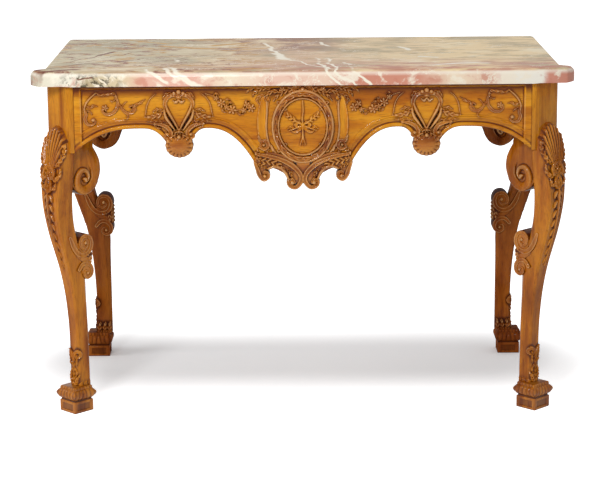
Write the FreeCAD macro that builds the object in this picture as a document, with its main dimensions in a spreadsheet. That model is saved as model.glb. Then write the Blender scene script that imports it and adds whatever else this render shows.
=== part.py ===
import FreeCAD, Part
import math
import os
import re
import Sketcher

# Carved pier table: a shaped marble slab on a scalloped walnut frame with four cabriole legs.
# Millimetres. Origin on the floor under the middle of the slab, front towards -Y, +Z up.
# Curves are drawn as short straight facets, as the blanks are sawn before they are smoothed.

os.makedirs("parts", exist_ok=True)
doc = FreeCAD.newDocument("pier_table")
Vec = FreeCAD.Vector
UP = Vec(0, 0, 1)

# ---------------------------------------------------------------- driving dimensions

DRIVING = (
    ("TableHigh", 880, "floor to the top of the marble"),
    ("TopThick", 36, "thickness of the marble slab"),
    ("TopLong", 1286, "slab between its straight side edges"),
    ("TopDeep", 655, "slab from front edge to back edge"),
    ("TopRound", 14, "radius of the thumb mould on the slab's upper edge"),
    ("EarProud", 27, "how far a front ear stands past the side edge"),
    ("EarBreak", 9, "how far the front edge steps back beside an ear"),
    ("EarWide", 68, "length of that stepped-back front edge and its corner"),
    ("EarDeep", 62, "front edge of the slab to the widest point of an ear"),
    ("SideOverhang", 9, "slab's side edge past the outer face of a side rail"),
    ("DeepOverhang", 22.5, "slab's front and back edges past the frame's faces"),
    ("PostSide", 70, "side of the square post over each leg"),
    ("PostCant", 55, "leg of the cant cut off each front post's corner"),
    ("RailThick", 32, "thickness of the carved front and side rails"),
    ("BackThick", 25, "thickness of the plain back rail"),
    ("BackHigh", 100, "height of the plain back rail"),
    ("RailEnd", 168, "height of a carved rail where it meets its post"),
    ("RailArch", 108, "height of a carved rail over the crown of an arch"),
    ("RailShell", 173, "height of a carved rail at a shell pendant"),
    ("RailMiddle", 194, "height of the front rail behind the cartouche"),
    ("ShellAt", 305, "middle of the slab to each front shell pendant"),
    ("ShellFlat", 17, "half width of the tongue behind a shell"),
    ("CrownOut", 400, "crown of the front rail's outer arches"),
    ("CrownIn", 235, "crown of the front rail's inner arches"),
    ("SideCrown", 95, "crown of the side rails' arches"),
    ("MiddleHalf", 121, "half width of the front rail's middle tongue"),
    ("PanelSink", 4, "depth of the sunk panels behind the carving"),
    ("PanelStile", 18, "plain stile at each end of a carved rail"),
    ("PanelTop", 9, "plain border along the top of a carved rail"),
    ("BeadWide", 7, "width of the raised bead on a scalloped edge"),
    ("TenonLong", 24, "length of the rails' tenons"),
    ("TenonThick", 12, "thickness of the rails' tenons"),
    ("TenonHigh", 110, "height of the carved rails' tenons"),
    ("BackTenon", 68, "height of the back rail's tenons"),
    ("TenonTop", 22, "top of the rails to the top of a tenon"),
    ("TenonSet", 16, "rail's outer face to the near face of its tenon"),
    ("BackTenonSet", 6, "back rail's outer face to the near face of its tenon"),
    ("PegRadius", 4, "corner radius of the eight-sided pegs through the tenons"),
    ("PegInset", 8, "end of a tenon peg to the post's outer face"),
    ("PegEdge", 10, "edge of a tenon to the middle of its nearest peg"),
    ("PegStep", 18, "pegs of the side rails below those of the long rails"),
    ("FootInset", 70, "virtual corner of a front post to its foot's centre"),
    ("BackFootIn", 61, "side face of the frame to a back foot's centre"),
    ("BackFootSet", 29, "back face of the frame to a back foot's centre"),
    ("FootSide", 60, "side of the square plinth under each leg"),
    ("FootHigh", 66, "height of the whole foot"),
    ("PlinthHigh", 30, "height of the foot's lower block"),
    ("PlinthSink", 2.5, "depth of the panels sunk in the plinth"),
    ("PlinthFrame", 9, "plain frame beside those panels"),
    ("PlinthRail", 6.5, "plain frame over and under those panels"),
    ("NeckSide", 55, "side of the neck between the plinth and its cushion"),
    ("NeckHigh", 6, "height of that neck"),
    ("CushionSide", 74, "side of the gadrooned cushion"),
    ("CushionHigh", 24, "height of the cushion"),
    ("CushionTurn", 6, "how far the cushion draws in at its top and bottom"),
    ("DowelRadius", 8, "corner radius of the eight-sided dowel from leg to foot"),
    ("DowelLong", 72, "length of that dowel"),
    ("DowelStart", 26, "floor to the lower end of that dowel"),
    ("KneeWide", 78, "width of a front leg across its knee"),
    ("BackKneeWide", 58, "width of a back leg across its knee"),
    ("KneeOut", 67, "foot's centre to the most forward part of the knee"),
    ("KneeRise", 61, "end of the rails up to the top of the carved knee"),
    ("KneeTopOut", 39, "foot's centre to the top of the knee's front"),
    ("KneeStart", 0.24, "where the knee begins to swell up the shaft, from 0 to 1"),
    ("KneeShare", 0.74, "where the knee stands out most up the shaft, from 0 to 1"),
    ("WidenStart", 0.39, "where the leg begins to widen up the shaft, from 0 to 1"),
    ("WidenEnd", 0.93, "where the leg reaches its full width, from 0 to 1"),
    ("HollowStart", 0.41, "where the inner face begins to follow the knee, from 0 to 1"),
    ("HollowEnd", 0.69, "where the inner face reaches the bracket's seat, from 0 to 1"),
    ("ShinWide", 36, "width of a leg above its foot"),
    ("ShinOut", 4, "foot's centre to the outer face of the shin"),
    ("ShinIn", 37, "foot's centre to the inner face of the shin"),
    ("LegArris", 4.5, "chamfer on the outer arrises of a leg"),
    ("LegBevel", 8, "chamfer on the inner arrises of a shin"),
    ("BracketSeat", 12, "how far a bracket's glue face lies behind its foot's centre"),
    ("VoluteAt", 31, "foot's centre to the eye of the bracket's volute"),
    ("VoluteDrop", 74, "end of the rails down to the eye of a front volute"),
    ("BackVoluteDrop", 47, "end of the rails down to the eye of a back volute"),
    ("VoluteRadius", 46, "outer radius of the volute"),
    ("VoluteWide", 62, "width of a front bracket across the leg's plane"),
    ("BackVoluteWide", 54, "width of a back bracket"),
    ("VoluteBand", 15, "width of the band that winds in the volute"),
    ("VoluteSink", 4, "depth of the hollow between its turns"),
    ("RollShare", 0.55, "place of the upper shin scroll up the shaft, from 0 to 1"),
    ("RollRadius", 19, "radius of the upper shin scroll"),
    ("RollWide", 58, "length of the upper shin scroll"),
    ("RollAt", 24, "foot's centre to the upper shin scroll"),
    ("CurlShare", 0.44, "place of the lower shin scroll up the shaft, from 0 to 1"),
    ("CurlRadius", 15, "radius of the lower shin scroll"),
    ("CurlWide", 52, "length of the lower shin scroll"),
    ("CurlAt", 32, "foot's centre to the lower shin scroll"),
    ("BlockHigh", 100, "height of the corner blocks"),
    ("BlockLong", 83, "length of a corner block along its rail past the post"),
    ("BearerAt", 200, "middle of the table to each bearer"),
    ("BearerWide", 60, "width of a bearer under the slab"),
    ("BearerHigh", 30, "height of a bearer"),
    ("BearerHousing", 10, "depth of the housings that hold the bearers"),
    ("ScrewRadius", 2.5, "radius of the corner blocks' screws"),
    ("ScrewHead", 5, "radius of their heads"),
    ("ScrewHeadHigh", 3, "height of their heads"),
    ("ScrewBite", 14, "length of a screw in its rail"),
    ("ScrewGrip", 20, "length of a screw in its block"),
    ("ScrewDrop", 70, "top of the rails to a screw"),
    ("CartoucheDrop", 105, "top of the rails to the middle of the cartouche"),
    ("WreathHalf", 78, "half width of the cartouche's oval wreath"),
    ("WreathTall", 93, "half height of the wreath"),
    ("FieldHalf", 56, "half width of the oval field inside the wreath"),
    ("FieldTall", 66, "half height of that field"),
    ("WreathProud", 14, "how far the wreath stands off the sunk panel"),
    ("FieldProud", 5, "how far the field stands off the sunk panel"),
    ("StrapWide", 24, "width of the flat straps beside the wreath"),
    ("CarvingProud", 7, "relief of the applied carving"),
    ("StrapReach", 85, "middle of a shell to the end of the straps beside it"),
    ("GarlandGap", 10, "cartouche's tongue to the nearest end of a flower garland"),
    ("PendantProud", 9, "relief of the pendant scrolls and shells"),
    ("PendantThick", 32, "thickness of the pendant scrolls"),
    ("BigScroll", 21, "radius of the two middle pendant scrolls"),
    ("BigScrollAt", 24, "middle of the table to a middle pendant scroll"),
    ("BigScrollDrop", 49, "front rail's middle edge down to a middle pendant scroll"),
    ("SmallScroll", 15, "radius of the two outer pendant scrolls"),
    ("SmallScrollAt", 97, "middle of the table to an outer pendant scroll"),
    ("SmallScrollDrop", 31, "front rail's middle edge down to an outer pendant scroll"),
    ("ShellHalf", 34, "half width of a shell pendant"),
    ("ShellTall", 56, "hub of a shell to its lowest flute"),
    ("ShellDrop", 6, "how far a shell hangs below its rail"),
    ("ShellFlutes", 9, "flutes of a shell"),
)

sheet = doc.addObject("Spreadsheet::Sheet", "Sizes")
for row, (alias, value, meaning) in enumerate(DRIVING, start=1):
    sheet.set(f"A{row}", meaning)
    sheet.set(f"B{row}", str(value))
    sheet.setAlias(f"B{row}", alias)
doc.recompute()

ALIASES = {alias for alias, value, meaning in DRIVING}


def formula(text):
    """Turn a formula of aliases into one that reads the sheet."""
    def sheet_word(found):
        return "Sizes." + found[0] if found[0] in ALIASES else found[0]

    return re.sub(r"\b[A-Z]\w+", sheet_word, str(text))


def size(text):
    """The present value of a formula of aliases, in millimetres."""
    return float(sheet.evalExpression(formula(text)))


def bind(thing, formulas):
    """Bind properties of a document object to formulas of the sheet."""
    for prop, text in formulas.items():
        thing.setExpression(prop, formula(text))


# Places that several pieces share.
RAIL_TOP = "(TableHigh - TopThick)"
RAIL_LOW = "(TableHigh - TopThick - RailEnd)"
KNEE_TOP = "(TableHigh - TopThick - RailEnd + KneeRise)"
SIDE_FACE = "(TopLong / 2 - SideOverhang)"
BACK_FACE = "(TopDeep / 2 - DeepOverhang)"
FRONT_FACE = "(DeepOverhang - TopDeep / 2)"
POST_X = "(TopLong / 2 - SideOverhang - PostSide)"
POST_Y = "(TopDeep / 2 - DeepOverhang - PostSide)"
RAIL_INNER = f"({FRONT_FACE} + RailThick)"
SIDE_INNER = f"({SIDE_FACE} - RailThick)"
BACK_INNER = f"({BACK_FACE} - BackThick)"
TENON_TOP = f"({RAIL_TOP} - TenonTop)"
FOOT_DIAGONAL = "(FootInset * sqrt(2) / 2)"
SCREW_LEVEL = f"({RAIL_TOP} - ScrewDrop)"
BLOCK_TOP = f"({RAIL_TOP} - PanelTop)"
BLOCK_LOW = f"({RAIL_TOP} - PanelTop - BlockHigh)"

SIDES = (("left", -1), ("right", 1))
ENDS = (("front", -1), ("back", 1))
CORNERS = [(f"{end}_{side}", sx, sy) for end, sy in ENDS for side, sx in SIDES]

LEVEL_ERROR = 0.000001    # two points this close, or a fall this small, count as one
INNER_FALL = 2.3          # steepness of the scallop beside the middle of the front rail
SHELL_FALL = 2.6          # steepness of the scallops towards a shell, and towards a post
OUTER_FALL = 2.8          # steepness of the scallop past a shell
SHELL_OPENING = 50        # half the angle that a shell's flutes spread over
VOLUTE_START = 35         # angle at which a volute leaves its bracket
VOLUTE_TURNS = 1.35       # turns from there to its eye
KNEE_FALL = 1.3           # steepness of a knee towards its top
PIN_SIDES = 8
SCREW_SIDES = 6

finished = {}


def keep(name, thing):
    """Register a finished sub-part under its own label."""
    thing.Label = name
    finished[name] = thing
    return thing


# ---------------------------------------------------------------- small helpers

def mirrored(sign, low, high):
    """A span on the positive side, or its mirror image."""
    return (low, high) if sign > 0 else (f"-({high})", f"-({low})")


def box(name, x_span, y_span, z_span):
    """A box between formulas on each axis."""
    block = doc.addObject("Part::Box", name)
    bind(block, {
        "Length": f"{x_span[1]} - ({x_span[0]})",
        "Width": f"{y_span[1]} - ({y_span[0]})",
        "Height": f"{z_span[1]} - ({z_span[0]})",
        "Placement.Base.x": x_span[0],
        "Placement.Base.y": y_span[0],
        "Placement.Base.z": z_span[0],
    })
    return block


def pin(name, radius, length, base, direction, sides=PIN_SIDES):
    """A many-sided pin from a base point along a direction."""
    prism = doc.addObject("Part::Prism", name)
    prism.Polygon = sides
    prism.Placement.Rotation = FreeCAD.Rotation(UP, direction)
    bind(prism, {
        "Circumradius": radius,
        "Height": length,
        "Placement.Base.x": base[0],
        "Placement.Base.y": base[1],
        "Placement.Base.z": base[2],
    })
    return prism


def fuse(name, pieces):
    """One solid from several that touch or overlap."""
    union = doc.addObject("Part::MultiFuse", name)
    union.Shapes = pieces
    union.Refine = True
    return union


def cut(name, base, tools):
    """A piece with its neighbours' room cut out of it."""
    tool = tools[0]
    if len(tools) > 1:
        tool = doc.addObject("Part::Compound", name + "_room")
        tool.Links = tools
    difference = doc.addObject("Part::Cut", name)
    difference.Base = base
    difference.Tool = tool
    difference.Refine = True
    return difference


def group(name, pieces):
    """Separate solids that share one node."""
    compound = doc.addObject("Part::Compound", name)
    compound.Links = pieces
    return compound


def feature(name, shape, placement=None):
    """A shape made with Part's own functions, moved as a whole to its place."""
    thing = doc.addObject("Part::Feature", name)
    thing.Shape = shape
    if placement is not None:
        thing.Placement = placement.multiply(shape.Placement)
    return thing


def face_of(points):
    """A flat face inside a closed run of points."""
    return Part.Face(Part.makePolygon(points + points[:1]))


def solid_of(faces):
    """The solid that a closed set of flat faces encloses."""
    shell = Part.makeShell(faces)
    shell.sewShape()
    solid = Part.makeSolid(shell)
    if solid.Volume < 0:
        solid.reverse()
    return solid


def faceted(rings):
    """A solid with flat facets through closed rings of points that match one another."""
    faces = [face_of(rings[0]), face_of(rings[-1])]
    for near, far in zip(rings, rings[1:]):
        for index, start in enumerate(near):
            after = (index + 1) % len(near)
            quad = [start, near[after], far[after], far[index]]
            across = (quad[1] - start).cross(quad[3] - start).normalize()
            if abs(across.dot(quad[2] - start)) < LEVEL_ERROR:
                faces.append(face_of(quad))
            else:
                faces.append(face_of(quad[:3]))
                faces.append(face_of([start] + quad[2:]))
    return solid_of(faces)


def smooth_points(points, count):
    """More points on the smooth curve through a few."""
    curve = Part.BSplineCurve()
    curve.interpolate(points)
    spread = (curve.LastParameter - curve.FirstParameter) / count
    return [curve.value(curve.FirstParameter + spread * step) for step in range(count + 1)]


def polygon_body(name, role, corners, offset, thickness):
    """A PartDesign plate: a dimensioned outline on an origin plane, padded to its thickness."""
    body = doc.addObject("PartDesign::Body", name)
    plane = [item for item in body.Origin.OriginFeatures if item.Role == role][0]
    sketch = body.newObject("Sketcher::SketchObject", name + "_outline")
    sketch.AttachmentSupport = (plane, [""])
    sketch.MapMode = "FlatFace"
    bind(sketch, {"AttachmentOffset.Base.z": offset})
    points = [Vec(size(x), size(y), 0) for x, y in corners]
    for index, start in enumerate(points):
        end = points[(index + 1) % len(points)]
        sketch.addGeometry(Part.LineSegment(start, end), False)
    for index, (x, y) in enumerate(corners):
        previous = (index - 1) % len(corners)
        sketch.addConstraint(Sketcher.Constraint("Coincident", previous, 2, index, 1))
        across = sketch.addConstraint(Sketcher.Constraint("DistanceX", index, 1, points[index].x))
        bind(sketch, {f"Constraints[{across}]": x})
        along = sketch.addConstraint(Sketcher.Constraint("DistanceY", index, 1, points[index].y))
        bind(sketch, {f"Constraints[{along}]": y})
    pad = body.newObject("PartDesign::Pad", name + "_pad")
    pad.Profile = sketch
    bind(pad, {"Length": thickness})
    return body


# ---------------------------------------------------------------- marble slab

def slab_edge():
    """The slab's outline seen from above, from the back right corner round to the back left one."""
    half = size("TopLong / 2")
    front = -size("TopDeep / 2")
    proud = size("EarProud")
    widest_y = front + size("EarDeep")
    step_y = front + size("EarBreak")
    straight_x = half - size("EarWide") - size("EarBreak")
    ear = [
        Vec(half, widest_y + proud * 1.4, 0),
        Vec(half + proud * 0.38, widest_y + proud * 0.55, 0),
        Vec(half + proud, widest_y, 0),
        Vec(half + proud * 0.78, widest_y - size("EarDeep") * 0.46, 0),
        Vec(half + proud * 0.1, step_y, 0),
    ]
    right = [Vec(half, size("TopDeep / 2"), 0)]
    for point in smooth_points(ear, 12):
        right.append(Vec(min(point.x, half + proud), point.y, 0))
    for share in (0, 0.5, 1):
        drop = size("EarBreak") * (1 - share ** 2 * (3 - 2 * share))
        right.append(Vec(straight_x + size("EarBreak") * 2 * (1 - share), front + drop, 0))
    left = [Vec(-point.x, point.y, 0) for point in reversed(right)]
    return right + left


def inset(points, distance):
    """The outline moved inwards by a distance along its sides and front, but not along its back."""
    moved = []
    for index, point in enumerate(points):
        before = points[index - 1] if index else point + Vec(0, 1, 0)
        after = points[index + 1] if index + 1 < len(points) else point + Vec(0, 1, 0)
        first = (point - before).normalize().cross(UP)
        second = (after - point).normalize().cross(UP)
        inward = (first + second) * (1 / (1 + first.dot(second)))
        moved.append(point + inward * distance)
    return moved


def marble_top():
    """The slab: straight back and sides, a stepped front edge, a rounded ear at each front corner."""
    edge = slab_edge()
    low = size(RAIL_TOP)
    high = size("TableHigh")
    mould = size("TopRound")
    rings = [[point + UP * low for point in edge]]
    for turn in (0, 30, 60, 90):
        angle = math.radians(turn)
        level = high - mould + mould * math.sin(angle)
        rings.append([point + UP * level for point in inset(edge, mould * (1 - math.cos(angle)))])
    return keep("marble_top", feature("slab", faceted(rings)))


# ---------------------------------------------------------------- carved rails

def falling(crown_x, foot_x, foot_drop, power, count=6):
    """Half an arch: from its crown down to its foot, steeper towards the foot."""
    crown = size(f"{RAIL_TOP} - RailArch")
    points = []
    for step in range(count + 1):
        share = step / count
        points.append((crown_x + (foot_x - crown_x) * share, crown - foot_drop * share ** power))
    return points


def arch(foot_in, drop_in, power_in, crown_x, foot_out, drop_out, power_out):
    """A whole arch from its inner foot over the crown to its outer foot."""
    inner = falling(crown_x, foot_in, drop_in, power_in)
    outer = falling(crown_x, foot_out, drop_out, power_out)
    return list(reversed(inner)) + outer[1:]


def front_half():
    """Lower edge of the front rail from the middle to one post, as (distance, height)."""
    end_drop = size("RailEnd - RailArch")
    shell_drop = size("RailShell - RailArch")
    middle_drop = size("RailMiddle - RailArch")
    inner = arch(size("MiddleHalf"), middle_drop, INNER_FALL, size("CrownIn"),
                 size("ShellAt - ShellFlat"), shell_drop, SHELL_FALL)
    outer = arch(size("ShellAt + ShellFlat"), shell_drop, OUTER_FALL, size("CrownOut"),
                 size(POST_X), end_drop, SHELL_FALL)
    return inner + outer


def side_half():
    """Lower edge of a side rail from its shell to one post."""
    end_drop = size("RailEnd - RailArch")
    shell_drop = size("RailShell - RailArch")
    return arch(size("ShellFlat"), shell_drop, OUTER_FALL, size("SideCrown"),
                size(POST_Y), end_drop, SHELL_FALL)


def carved_board(name, lower, half_length):
    """A scalloped board with a raised bead along its edge and a sunk panel, standing at Y = 0."""
    top = size(RAIL_TOP)
    right = [Vec(x, 0, z) for x, z in lower] + [Vec(size(half_length), 0, top)]
    left = [Vec(-point.x, 0, point.z) for point in reversed(right)]
    outline = feature(name + "_outline", face_of(right + left))
    board = doc.addObject("Part::Extrusion", name + "_board")
    board.Base = outline
    board.DirMode = "Custom"
    board.Dir = Vec(0, 1, 0)
    board.Solid = True
    bind(board, {"LengthFwd": "RailThick"})

    inside = doc.addObject("Part::Offset2D", name + "_inside_bead")
    inside.Source = outline
    inside.Join = 2
    bind(inside, {"Value": "-BeadWide"})
    sinking = doc.addObject("Part::Extrusion", name + "_sinking")
    sinking.Base = inside
    sinking.DirMode = "Custom"
    sinking.Dir = Vec(0, 1, 0)
    sinking.Solid = True
    bind(sinking, {"LengthFwd": "PanelSink"})
    frame = box(name + "_frame",
                (f"-{half_length} + PanelStile", f"{half_length} - PanelStile"),
                ("0 * PanelSink", "PanelSink"),
                (f"{RAIL_TOP} - RailMiddle", f"{RAIL_TOP} - PanelTop"))
    panel = doc.addObject("Part::Common", name + "_panel")
    panel.Base = sinking
    panel.Tool = frame
    return cut(name + "_sunk", board, [panel])


def rail_tenon(name, x_span, y_span, height):
    """A tenon that enters a post."""
    return box(name, x_span, y_span, (f"{TENON_TOP} - {height}", TENON_TOP))


def front_tenon(side, sign):
    near = f"{FRONT_FACE} + TenonSet"
    x_span = mirrored(sign, POST_X, f"{POST_X} + TenonLong")
    return rail_tenon(f"front_tenon_{side}", x_span, (near, f"{near} + TenonThick"), "TenonHigh")


def back_tenon(side, sign):
    near = f"{BACK_FACE} - BackTenonSet"
    x_span = mirrored(sign, POST_X, f"{POST_X} + TenonLong")
    return rail_tenon(f"back_tenon_{side}", x_span, (f"{near} - TenonThick", near), "BackTenon")


def side_tenon(corner, sx, sy):
    near = f"{SIDE_FACE} - TenonSet"
    x_span = mirrored(sx, f"{near} - TenonThick", near)
    y_span = mirrored(sy, POST_Y, f"{POST_Y} + TenonLong")
    return rail_tenon(f"side_tenon_{corner}", x_span, y_span, "TenonHigh")


# ---------------------------------------------------------------- hidden joinery

def tenon_pegs():
    """Two pegs in each tenon, driven from inside the post, at heights where the two rows miss each other."""
    pegs = {}
    length = "PostSide - PegInset"
    for corner, sx, sy in CORNERS:
        high = "TenonHigh" if sy < 0 else "BackTenon"
        long_x = f"{sx} * ({POST_X} + TenonLong / 2)"
        cross_y = f"{sy} * ({POST_Y} + TenonLong / 2)"
        row = []
        for level, drop in (("high", "PegEdge"), ("low", f"{high} - PegEdge")):
            base = (long_x, f"{sy} * {POST_Y}", f"{TENON_TOP} - ({drop})")
            row.append(pin(f"long_peg_{level}_{corner}", "PegRadius", length, base, Vec(0, sy, 0)))
        for level, drop in (("high", "PegEdge + PegStep"), ("low", "TenonHigh - PegEdge - PegStep")):
            base = (f"{sx} * {POST_X}", cross_y, f"{TENON_TOP} - ({drop})")
            row.append(pin(f"cross_peg_{level}_{corner}", "PegRadius", length, base, Vec(sx, 0, 0)))
        pegs[corner] = row
    return pegs


def screw(name, tip, head, direction):
    """A screw from its tip in a rail to its head in a block."""
    shank = pin(name + "_shank", "ScrewRadius", "ScrewBite + ScrewGrip", tip, direction, SCREW_SIDES)
    cap = pin(name + "_head", "ScrewHead", "ScrewHeadHigh", head, direction, SCREW_SIDES)
    return fuse(name, [shank, cap])


def screw_places(corner, sx, sy):
    """A block's two screws: name, direction, and the point at a distance inside the rail's inner face."""
    inner = f"({BACK_FACE} - {'RailThick' if sy < 0 else 'BackThick'})"

    def in_long_rail(back):
        return (f"{sx} * ({POST_X} - BlockLong / 2)", f"{sy} * ({inner} - ({back}))", SCREW_LEVEL)

    def in_side_rail(back):
        return (f"{sx} * ({SIDE_INNER} - ({back}))", f"{sy} * ({POST_Y} - BlockLong / 2)", SCREW_LEVEL)

    return (
        (f"long_screw_{corner}", in_long_rail, Vec(0, -sy, 0)),
        (f"cross_screw_{corner}", in_side_rail, Vec(-sx, 0, 0)),
    )


def block_screws():
    """Two screws in each corner block, one into each rail."""
    screws = {}
    for corner, sx, sy in CORNERS:
        made = []
        for name, at, direction in screw_places(corner, sx, sy):
            made.append(screw(name, at("-ScrewBite"), at("ScrewGrip"), direction))
        screws[corner] = made
    return screws


def corner_blocks(screws):
    """Glued and screwed blocks behind the posts, notched round the post's inner corner."""
    for corner, sx, sy in CORNERS:
        face = f"({BACK_FACE} - {'RailThick' if sy < 0 else 'BackThick'})"
        outline = [
            (f"{sx} * {POST_X}", f"{sy} * {face}"),
            (f"{sx} * ({POST_X} - BlockLong)", f"{sy} * {face}"),
            (f"{sx} * {SIDE_INNER}", f"{sy} * ({POST_Y} - BlockLong)"),
            (f"{sx} * {SIDE_INNER}", f"{sy} * {POST_Y}"),
            (f"{sx} * {POST_X}", f"{sy} * {POST_Y}"),
        ]
        body = polygon_body(f"block_{corner}", "XY_Plane", outline, BLOCK_LOW, "BlockHigh")
        room = list(screws[corner])
        for name, at, direction in screw_places(corner, sx, sy):
            hole = pin(name + "_access", "ScrewHead", "BlockLong", at("ScrewGrip"), direction, SCREW_SIDES)
            room.append(hole)
        keep(f"corner_block_{corner}", cut(f"corner_block_{corner}", body, room))


def bearers():
    """Two bearers from rail to rail that carry the middle of the slab."""
    made = []
    for side, sign in SIDES:
        x_span = mirrored(sign, "BearerAt - BearerWide / 2", "BearerAt + BearerWide / 2")
        corners = [
            (x_span[0], f"{RAIL_INNER} - BearerHousing"),
            (x_span[1], f"{RAIL_INNER} - BearerHousing"),
            (x_span[1], f"{BACK_INNER} + BearerHousing"),
            (x_span[0], f"{BACK_INNER} + BearerHousing"),
        ]
        body = polygon_body(f"bearer_{side}", "XY_Plane", corners, f"{RAIL_TOP} - BearerHigh", "BearerHigh")
        made.append(keep(f"cross_bearer_{side}", body))
    return made


# ---------------------------------------------------------------- legs

def eased(share, start, end):
    """A smooth rise from 0 at the start to 1 at the end."""
    step = min(max((share - start) / (end - start), 0), 1)
    return step * step * (3 - 2 * step)


def leg_outer(share):
    """The leg's outer face at a share of the shaft: straight shin, swelling knee, drawn-in top."""
    knee = size("KneeShare")
    if share < knee:
        return size("ShinOut") + size("KneeOut - ShinOut") * eased(share, size("KneeStart"), knee)
    return size("KneeOut") - size("KneeOut - KneeTopOut") * ((share - knee) / (1 - knee)) ** KNEE_FALL


def leg_inner(share):
    """The leg's inner face at a share of the shaft: from the shin out to the bracket's seat."""
    swing = eased(share, size("HollowStart"), size("HollowEnd"))
    return size("ShinIn") - size("ShinIn + BracketSeat") * swing


def leg_half(share, knee_wide):
    """Half the leg's width at a share of the shaft."""
    swell = eased(share, size("WidenStart"), size("WidenEnd"))
    return (size("ShinWide") + (knee_wide - size("ShinWide")) * swell) / 2


def shaft_level(share):
    """Height of a share of the shaft between the top of the foot and the top of the knee."""
    return size("FootHigh") + (size(KNEE_TOP) - size("FootHigh")) * share


def cabriole(corner, knee_wide, place):
    """The shaped leg below its post, lofted through its sections and stood at its foot."""
    rings = []
    arris = size("LegArris")
    bevel = size("LegBevel")
    steps = 16
    for step in range(steps + 1):
        share = step / steps
        level = shaft_level(share)
        outer = -leg_outer(share)
        inner = leg_inner(share)
        half = leg_half(share, knee_wide)
        rings.append([
            Vec(outer, arris - half, level),
            Vec(outer + arris, -half, level),
            Vec(inner - bevel, -half, level),
            Vec(inner, bevel - half, level),
            Vec(inner, half - bevel, level),
            Vec(inner - bevel, half, level),
            Vec(outer + arris, half, level),
            Vec(outer, half - arris, level),
        ])
    return feature(f"shaft_{corner}", faceted(rings), place)


def foot_place(sx, sy):
    """Where a leg stands: its own +X points from the foot's centre towards the table."""
    if sy < 0:
        x = sx * (size(SIDE_FACE) - size(FOOT_DIAGONAL))
        y = size(FRONT_FACE) + size(FOOT_DIAGONAL)
        angle = 45 if sx < 0 else 135
    else:
        x = sx * (size(SIDE_FACE) - size("BackFootIn"))
        y = size(BACK_FACE) - size("BackFootSet")
        angle = 0 if sx < 0 else 180
    return FreeCAD.Placement(Vec(x, y, 0), FreeCAD.Rotation(UP, angle))


def post(corner, sx, sy):
    """The square post over a leg, its outer corner cut off on the front legs."""
    outer_corner = [(SIDE_FACE, BACK_FACE)]
    if sy < 0:
        outer_corner = [(f"{SIDE_FACE} - PostCant", BACK_FACE), (SIDE_FACE, f"{BACK_FACE} - PostCant")]
    spots = [(POST_X, POST_Y), (POST_X, BACK_FACE)] + outer_corner + [(SIDE_FACE, POST_Y)]
    outline = [(f"{sx} * ({x})", f"{sy} * ({y})") for x, y in spots]
    return polygon_body(f"post_{corner}", "XY_Plane", outline, RAIL_LOW, "RailEnd")


def legs(tenons, pegs, dowels):
    """Four cabriole legs, each one blank from the foot to the underside of the slab."""
    made = {}
    for corner, sx, sy in CORNERS:
        wide = size("KneeWide") if sy < 0 else size("BackKneeWide")
        shaft = cabriole(corner, wide, foot_place(sx, sy))
        blank = fuse(f"leg_blank_{corner}", [shaft, post(corner, sx, sy)])
        room = tenons[corner] + pegs[corner] + [dowels[corner]]
        made[corner] = keep(f"leg_{corner}", cut(f"leg_{corner}", blank, room))
    return made


def foot_dowels():
    """A dowel on the axis of each shin that enters the foot and the leg."""
    dowels = {}
    for corner, sx, sy in CORNERS:
        place = foot_place(sx, sy)
        middle = place.multVec(Vec(size("(ShinIn - ShinOut) / 2"), 0, 0))
        base = (middle.x, middle.y, "DowelStart")
        dowels[corner] = pin(f"dowel_{corner}", "DowelRadius", "DowelLong", base, UP)
    return dowels


def squared_pad(body, name, side, start, height):
    """A square layer of a foot on its axis."""
    sketch = body.newObject("Sketcher::SketchObject", name + "_square")
    plane = [item for item in body.Origin.OriginFeatures if item.Role == "XY_Plane"][0]
    sketch.AttachmentSupport = (plane, [""])
    sketch.MapMode = "FlatFace"
    bind(sketch, {"AttachmentOffset.Base.z": start})
    half = size(side) / 2
    ring = [Vec(-half, -half, 0), Vec(half, -half, 0), Vec(half, half, 0), Vec(-half, half, 0)]
    for index, corner in enumerate(ring):
        sketch.addGeometry(Part.LineSegment(corner, ring[(index + 1) % len(ring)]), False)
    pad = body.newObject("PartDesign::Pad", name)
    pad.Profile = sketch
    bind(pad, {"Length": height})
    return pad


def foot_body(corner):
    """A plinth, a neck, a cushion with its edges turned in, and the collar that meets the leg."""
    body = doc.addObject("PartDesign::Body", f"foot_body_{corner}")
    middle = "(PlinthHigh + NeckHigh + CushionHigh / 2)"
    cushion = squared_pad(body, f"cushion_{corner}", "CushionSide", "PlinthHigh + NeckHigh", "CushionHigh")
    doc.recompute()
    rim = []
    for number, edge in enumerate(cushion.Shape.Edges, start=1):
        if abs(edge.Vertexes[0].Z - edge.Vertexes[-1].Z) < LEVEL_ERROR:
            rim.append(f"Edge{number}")
    turned = body.newObject("PartDesign::Chamfer", f"cushion_turn_{corner}")
    turned.Base = (cushion, rim)
    bind(turned, {"Size": "min(CushionTurn; CushionHigh * 0.46)"})
    squared_pad(body, f"plinth_{corner}", "FootSide", "0 * FootHigh", "PlinthHigh")
    squared_pad(body, f"neck_{corner}", "NeckSide", "PlinthHigh", f"{middle} - PlinthHigh")
    collar = squared_pad(body, f"collar_{corner}", "FootSide", middle, f"FootHigh - {middle}")
    body.Tip = collar
    return body


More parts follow.
